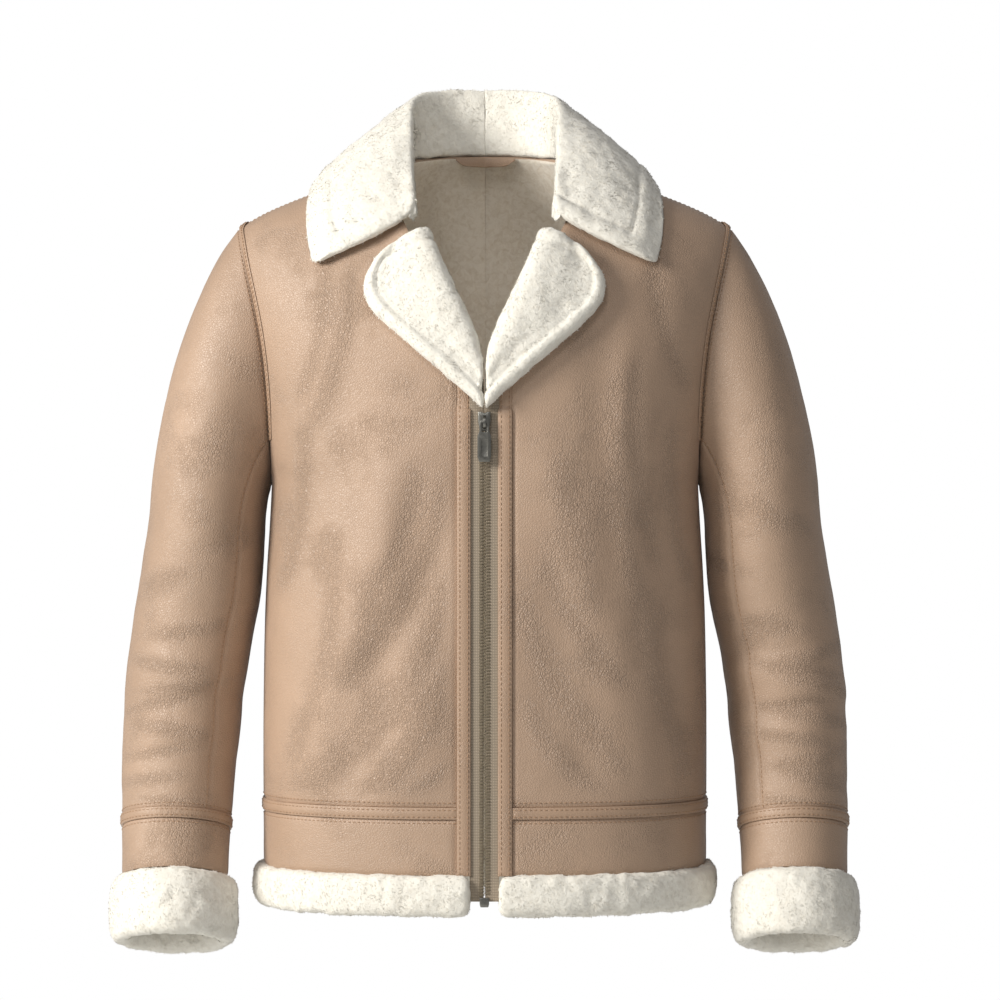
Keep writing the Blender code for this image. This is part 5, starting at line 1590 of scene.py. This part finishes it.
class JACKET_OT_wool(bpy.types.Operator):
    """Makes the wool of the collar, lapels, hem and cuffs with its nap"""
    bl_idname = "jacket.wool"
    bl_label = "Make Wool"

    def finish(self, name, sections, closed=False, ends=(0.0, 0.0), groove=None, lump=1.0, seed=1,
               nose=None):
        sizes = bpy.context.scene.jacket_sizes
        piece, grid, normals = pile_roll(f"{name}_pile", sections, sizes.pile_cell, closed, ends, groove,
                                         lump, seed, nose)
        quads = np.linalg.norm(np.cross(np.diff(grid, axis=0)[:, :-1], np.diff(grid, axis=1)[:-1]), axis=-1)
        count = int(quads.sum() * 1e6 * sizes.nap_density)
        tufts = nap(f"{name}_nap", grid, normals, count, sizes.nap_length, sizes.nap_width, seed + 100,
                    closed)
        dress(piece, name, [tufts])

    def execute(self, context):
        for side in (1, -1):
            self.collar(side)
            self.lapel(side)
            self.cuff(side)
            self.hem_front(side)
        self.hem_back()
        return {"FINISHED"}

    def collar(self, side):
        grid = np.array([collar_middle(i / COLLAR_STEPS) for i in range(COLLAR_STEPS + 1)])
        norms = surface_normals(grid)
        if norms[2, 8][2] < 0:
            norms = -norms
        sections = []
        half = np.array(COLLAR_HALF)[:, None]
        for i in range(COLLAR_STEPS + 1):
            top = [clear_of_body(p, k) for k, p in enumerate(grid[i] + norms[i] * half)]
            under = [clear_of_body(p, k) for k, p in enumerate(grid[i] - norms[i] * half)]
            edge = push_out(grid[i, -1] + unit(grid[i, -1] - grid[i, -2]) * COLLAR_NOSE, COLLAR_LIFT)
            ring = top + [edge] + under[::-1]
            sections.append([np.array((side * max(p[0], 0.0), p[1], p[2])) for p in ring])
        share = len(COLLAR_HALF) / (2 * len(COLLAR_HALF) + 1)

        def nose_column(cols):
            return int(cols * share)

        self.finish(f"collar_{NAMES[side]}", sections, ends=(0.0, 0.009),
                    groove=nose_groove(nose_column, 0.018, 1), seed=200 + side, nose=nose_column)

    def lapel(self, side):
        sections = []
        steps = 12
        for i in range(steps + 1):
            values = along(LAPEL, i / steps)
            start, end = values[:2], values[2:]
            width = np.linalg.norm(end - start)
            ring = [lapel_point(start, end, s, n) for s, n in lapel_outline(width)]
            sections.append([np.array((side * max(p[0], 2 * SEAM), p[1], p[2])) for p in ring])

        def nose_column(cols):
            return int(cols * 0.60)

        self.finish(f"lapel_{NAMES[side]}", sections, ends=(0.007, 0.006),
                    groove=nose_groove(nose_column, 0.016, -1), seed=210 + side, nose=nose_column)

    def cuff(self, side):
        middle, half = (CUFF_FUR[0] + CUFF_FUR[1]) / 2, (CUFF_FUR[0] - CUFF_FUR[1]) / 2
        sections = [[ring_point(middle + half * rise, 2 * pi * k / AROUND, side, across)
                     for across, rise in roll_shape(CUFF_PILE)] for k in range(AROUND)]
        self.finish(f"cuff_fur_{NAMES[side]}", sections, closed=True, lump=1.3, seed=220 + side)

    def hem_sections(self, spots):
        sections = []
        for point, out, size in spots:
            base = np.array((point[0], point[1], HEM_FUR_MIDDLE))
            sections.append([base + out * across * size + UP * rise * (HEM_FUR_HALF + 0.0012) * size
                             for across, rise in roll_shape(HEM_PILE)])
        return sections

    def hem_front(self, side):
        low = ring_rows((HEM_FUR_MIDDLE,), True, side)
        flat = level_normals(low)
        spots = [(low[0, j], flat[0, j], 1.0) for j in range(FRONT_COLS + 1)]
        first = low[0, 0].copy()
        for x, size in FUR_NOSE:
            first[0] = side * x
            spots.insert(0, (first.copy(), np.array((0, -1.0, 0)), size))
        spots[-1] = (spots[-1][0] + np.array((0, -SEAM / 2, 0)), spots[-1][1], 1.0)
        self.finish(f"hem_fur_{NAMES[side]}", self.hem_sections(spots), lump=1.3, seed=230 + side,
                    ends=(0.003, 0.0))

    def hem_back(self):
        left = ring_rows((HEM_FUR_MIDDLE,), False, 1)
        right = ring_rows((HEM_FUR_MIDDLE,), False, -1)
        around = np.concatenate([left[:, ::-1], right[:, 1:]], axis=1)
        flat = level_normals(around)
        spots = [(around[0, j], flat[0, j], 1.0) for j in range(around.shape[1])]
        for k in (0, -1):
            spots[k] = (spots[k][0] + np.array((0, SEAM / 2, 0)), spots[k][1], 1.0)
        self.finish("hem_fur_back", self.hem_sections(spots), lump=1.3, seed=240)


class JACKET_OT_sewing(bpy.types.Operator):
    """Lays the rows of stitches beside the seams, strips and straps"""
    bl_idname = "jacket.sewing"
    bl_label = "Make Stitching"

    def execute(self, context):
        sizes = context.scene.jacket_sizes
        for group, lines in STITCHES.items():
            if not lines:
                raise RuntimeError(f"no lines to sew for {group}")
            piece = stitches(f"stitching_{group}", lines, sizes.stitch, sizes.stitch_gap, sizes.thread)
            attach(piece, "jacket")
        return {"FINISHED"}


# Zip: teeth, slider, pull and box, modelled from primitives

def clear_selection():
    if bpy.context.mode != "OBJECT":
        bpy.ops.object.mode_set(mode="OBJECT")
    bpy.ops.object.select_all(action="DESELECT")


def pick(piece, test, kind="VERT"):
    """In edit mode, selects the vertices or faces whose middle passes the test."""
    bpy.ops.mesh.select_mode(type=kind)
    bpy.ops.mesh.select_all(action="DESELECT")
    bpy.ops.object.mode_set(mode="OBJECT")
    if kind == "VERT":
        for vert in piece.data.vertices:
            vert.select = bool(test(vert.co))
    else:
        for face in piece.data.polygons:
            face.select = test(face.center)
    bpy.ops.object.mode_set(mode="EDIT")


def start_block(name, size, place):
    """A cube of the given size at its place, left in edit mode."""
    clear_selection()
    bpy.ops.mesh.primitive_cube_add(size=1.0, location=place)
    piece = bpy.context.active_object
    piece.name = name
    piece.scale = size
    bpy.ops.object.transform_apply(location=True, rotation=True, scale=True)
    bpy.ops.object.mode_set(mode="EDIT")
    return piece


def finish_block(piece, look, bevel, segments=2):
    """Rounds the edges, applies the modifier and shades the piece."""
    bpy.ops.object.mode_set(mode="OBJECT")
    step = piece.modifiers.new("edges", "BEVEL")
    step.width = bevel
    step.segments = segments
    step.limit_method = "ANGLE"
    step.angle_limit = 0.6
    bpy.ops.object.modifier_apply(modifier=step.name)
    bpy.ops.object.mode_set(mode="EDIT")
    bpy.ops.mesh.select_all(action="SELECT")
    bpy.ops.mesh.normals_make_consistent(inside=False)
    bpy.ops.object.mode_set(mode="OBJECT")
    bpy.ops.object.shade_smooth_by_angle(angle=0.7)
    piece.data.materials.clear()
    piece.data.materials.append(look)
    return piece


class JACKET_OT_zip(bpy.types.Operator):
    """Models the teeth, slider, pull and box of the zip"""
    bl_idname = "jacket.zip"
    bl_label = "Make Zip"

    def execute(self, context):
        self.teeth()
        self.slider()
        self.pull()
        self.box()
        return {"FINISHED"}

    def teeth(self):
        """One tooth is modelled, then copied up both sides in turn."""
        tooth = start_block("tooth", (0.0050, 0.0024, 0.0013), (0.0022, 0.0, 0.0))
        bpy.ops.mesh.subdivide(number_cuts=1)
        pick(tooth, lambda co: co.x < 0.0002)
        bpy.ops.transform.resize(value=(1.0, 0.72, 0.72))
        pick(tooth, lambda co: co.x > 0.0044)
        bpy.ops.transform.resize(value=(1.0, 0.8, 1.25))
        finish_block(tooth, LOOKS["teeth"], 0.00018, 1)
        base = np.array([vert.co for vert in tooth.data.vertices])
        loops = [np.array(face.vertices) for face in tooth.data.polygons]
        verts, faces = [], []
        pitch = 0.00290
        low, high = TAPE_BOTTOM + 0.0060, LAPEL_FOOT - 0.0020
        for k in range(int((high - low) / (pitch / 2))):
            z = low + k * pitch / 2
            side = 1 if k % 2 else -1
            points = base * np.array((side, 1, 1)) + np.array((0.0, -(depth_at(0.0, z, True) - 0.0004), z))
            start = len(verts) * len(base)
            verts.append(points)
            faces += [(loop + start)[::side].tolist() for loop in loops]
        bpy.data.objects.remove(tooth, do_unlink=True)
        mesh = bpy.data.meshes.new("zip_teeth")
        mesh.from_pydata(np.concatenate(verts).tolist(), [], faces)
        mesh.materials.append(LOOKS["teeth"])
        piece = bpy.data.objects.new("zip_teeth", mesh)
        bpy.context.scene.collection.objects.link(piece)
        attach(piece, "jacket")
        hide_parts("zip_chain")

    def slider(self):
        middle = SLIDER_TOP - 0.0090
        body = start_block("slider_body", (0.0112, 0.0034, 0.0172), (0.0, CHEST_Y - 0.0026, middle))
        bpy.ops.mesh.subdivide(number_cuts=3)
        pick(body, lambda co: co.z < middle - 0.0030)
        bpy.ops.transform.resize(value=(0.86, 1.0, 1.0))
        pick(body, lambda co: co.z < middle - 0.0070)
        bpy.ops.transform.resize(value=(0.80, 1.0, 1.0))
        pick(body, lambda co: co.z > middle + 0.0070 and abs(co.x) < 0.0010)
        bpy.ops.transform.translate(value=(0.0, 0.0, -0.0012))
        pick(body, lambda co: co.y < CHEST_Y - 0.0040 and abs(co.x) < 0.0030 and abs(co.z - middle) < 0.0060)
        bpy.ops.transform.translate(value=(0.0, -0.0005, 0.0))
        finish_block(body, LOOKS["metal"], 0.0005)
        bridge = start_block("slider_bridge", (0.0024, 0.0012, 0.0124), (0.0, CHEST_Y - 0.0084, -0.2442))
        bpy.ops.mesh.subdivide(number_cuts=5)
        pick(bridge, lambda co: abs(co.z + 0.2442) > 0.0035)
        bpy.ops.transform.translate(value=(0.0, 0.0012, 0.0))
        pick(bridge, lambda co: abs(co.z + 0.2442) > 0.0055)
        bpy.ops.transform.translate(value=(0.0, 0.0034, 0.0))
        finish_block(bridge, LOOKS["metal"], 0.0003)
        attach(body, "jacket")
        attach(bridge, "jacket")
        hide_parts("zip_slider")

    def pull(self):
        plate = start_block("pull_plate", (0.0120, 0.0020, 0.0363), (0.0, PULL_Y, PIVOT_Z - 0.01705))
        bpy.ops.mesh.subdivide(number_cuts=7)
        pick(plate, lambda co: co.z > PIVOT_Z - 0.0115)
        bpy.ops.transform.resize(value=(0.74, 1.0, 1.0))
        pick(plate, lambda co: co.z > PIVOT_Z - 0.0002)
        bpy.ops.transform.resize(value=(0.82, 1.0, 1.0))
        pick(plate, lambda co: co.z < PIVOT_Z - 0.0340)
        bpy.ops.transform.resize(value=(0.78, 1.0, 1.0))
        bpy.ops.mesh.select_all(action="SELECT")
        bpy.ops.mesh.dissolve_limited(angle_limit=0.01)
        bpy.ops.object.mode_set(mode="OBJECT")
        for name, size, place in (
            ("window", (0.0046, 0.0080, 0.0077), (0.0, PULL_Y, PIVOT_Z - 0.00495)),
            ("recess", (0.0054, 0.0010, 0.0150), (0.0, PULL_Y - 0.0010, PIVOT_Z - 0.0228)),
        ):
            tool = start_block(name, size, place)
            bpy.ops.object.mode_set(mode="OBJECT")
            clear_selection()
            plate.select_set(True)
            bpy.context.view_layer.objects.active = plate
            step = plate.modifiers.new(name, "BOOLEAN")
            step.operation, step.solver, step.object = "DIFFERENCE", "EXACT", tool
            bpy.ops.object.modifier_apply(modifier=step.name)
            bpy.data.objects.remove(tool, do_unlink=True)
        finish_block(plate, LOOKS["metal"], 0.0003)
        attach(plate, "zip_pull")
        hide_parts("zip_pull")

    def box(self):
        foot = -depth_at(0.0, TAPE_BOTTOM, True)
        box = start_block("box_body", (0.0084, 0.0034, 0.0084), (0.0, foot - 0.0006, TAPE_BOTTOM - 0.0006))
        bpy.ops.mesh.subdivide(number_cuts=2)
        pick(box, lambda co: co.z < TAPE_BOTTOM - 0.0040)
        bpy.ops.transform.resize(value=(0.82, 0.9, 1.0))
        finish_block(box, LOOKS["metal"], 0.0005)
        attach(box, "jacket")
        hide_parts("zip_box")


# Stage: floor, light and camera

FLOOR_Z = -1.48          # the neck of a standing wearer is this high over the floor
CAMERA_Y = -3.2
CAMERA_X = 0.0138
CAMERA_Z = -0.3128


def soft_light(name, place, target, size, power, colour):
    data = bpy.data.lights.new(name, "AREA")
    data.shape = "DISK"
    data.size = size
    data.energy = power
    data.color = linear_colour(colour)[:3]
    lamp = bpy.data.objects.new(name, data)
    lamp.location = place
    lamp.rotation_euler = (Vector(target) - Vector(place)).to_track_quat("-Z", "Y").to_euler()
    bpy.context.scene.collection.objects.link(lamp)


class JACKET_OT_stage(bpy.types.Operator):
    """Sets the pale floor, the soft light and the camera"""
    bl_idname = "jacket.stage"
    bl_label = "Set Stage"

    def execute(self, context):
        clear_selection()
        bpy.ops.mesh.primitive_circle_add(vertices=96, radius=3.4, fill_type="NGON",
                                          location=(0.0, 0.0, FLOOR_Z))
        floor = bpy.context.active_object
        floor.name = "floor"
        bpy.ops.object.transform_apply(location=True, rotation=True, scale=True)
        floor.data.materials.append(plain_look("white_paper", linear_colour("F4F4F2")))
        soft_light("key_light", (-3.1, -2.0, 1.1), (0.0, 0.0, -0.32), 1.5, 178.0, "FFFDF8")
        soft_light("top_light", (-0.5, -2.6, 1.7), (0.0, 0.0, -0.10), 0.8, 18.0, "FFFFFF")
        world = context.scene.world or bpy.data.worlds.new("studio")
        context.scene.world = world
        world.use_nodes = True
        tree = world.node_tree
        tree.nodes.clear()
        seen = add_node(tree, "ShaderNodeLightPath", {}, "Is Camera Ray")
        strength = add_node(tree, "ShaderNodeMapRange", {"Value": seen, "To Min": 0.27, "To Max": 1.0})
        sky = add_node(tree, "ShaderNodeBackground", {"Color": (1.0, 1.0, 1.0, 1.0),
                                                      "Strength": strength})
        add_node(tree, "ShaderNodeOutputWorld", {"Surface": sky})
        context.scene.view_settings.view_transform = "Standard"
        lens = bpy.data.cameras.new("camera")
        lens.lens = 125.0
        lens.sensor_width = 36.0
        lens.clip_end = 50.0
        camera = bpy.data.objects.new("camera", lens)
        camera.location = (CAMERA_X, CAMERA_Y, CAMERA_Z)
        camera.rotation_euler = (pi / 2, 0.0, 0.0)
        context.scene.collection.objects.link(camera)
        context.scene.camera = camera
        return {"FINISHED"}


class JACKET_PT_panel(bpy.types.Panel):
    """Lists the steps that make the jacket"""
    bl_label = "Shearling Jacket"
    bl_idname = "JACKET_PT_panel"
    bl_space_type = "VIEW_3D"
    bl_region_type = "UI"
    bl_category = "Jacket"

    def draw(self, context):
        for settings in (context.scene.jacket_sizes, context.scene.jacket_colours):
            for key in settings.bl_rna.properties.keys():
                if key not in ("rna_type", "name"):
                    self.layout.prop(settings, key)
        for step in STEPS:
            self.layout.operator(step.bl_idname)


STEPS = (JACKET_OT_stage, JACKET_OT_looks, JACKET_OT_body, JACKET_OT_hem, JACKET_OT_sleeves, JACKET_OT_trim,
         JACKET_OT_wool, JACKET_OT_sewing, JACKET_OT_zip)
CLASSES = (JacketSizes, JacketColours) + STEPS + (JACKET_PT_panel,)


def register():
    for made in CLASSES:
        bpy.utils.register_class(made)
    bpy.types.Scene.jacket_sizes = bpy.props.PointerProperty(type=JacketSizes)
    bpy.types.Scene.jacket_colours = bpy.props.PointerProperty(type=JacketColours)


def unregister():
    del bpy.types.Scene.jacket_colours
    del bpy.types.Scene.jacket_sizes
    for made in reversed(CLASSES):
        bpy.utils.unregister_class(made)


def main():
    register()
    for step in STEPS:
        group, name = step.bl_idname.split(".")
        getattr(getattr(bpy.ops, group), name)()


if __name__ == "__main__":
    main()
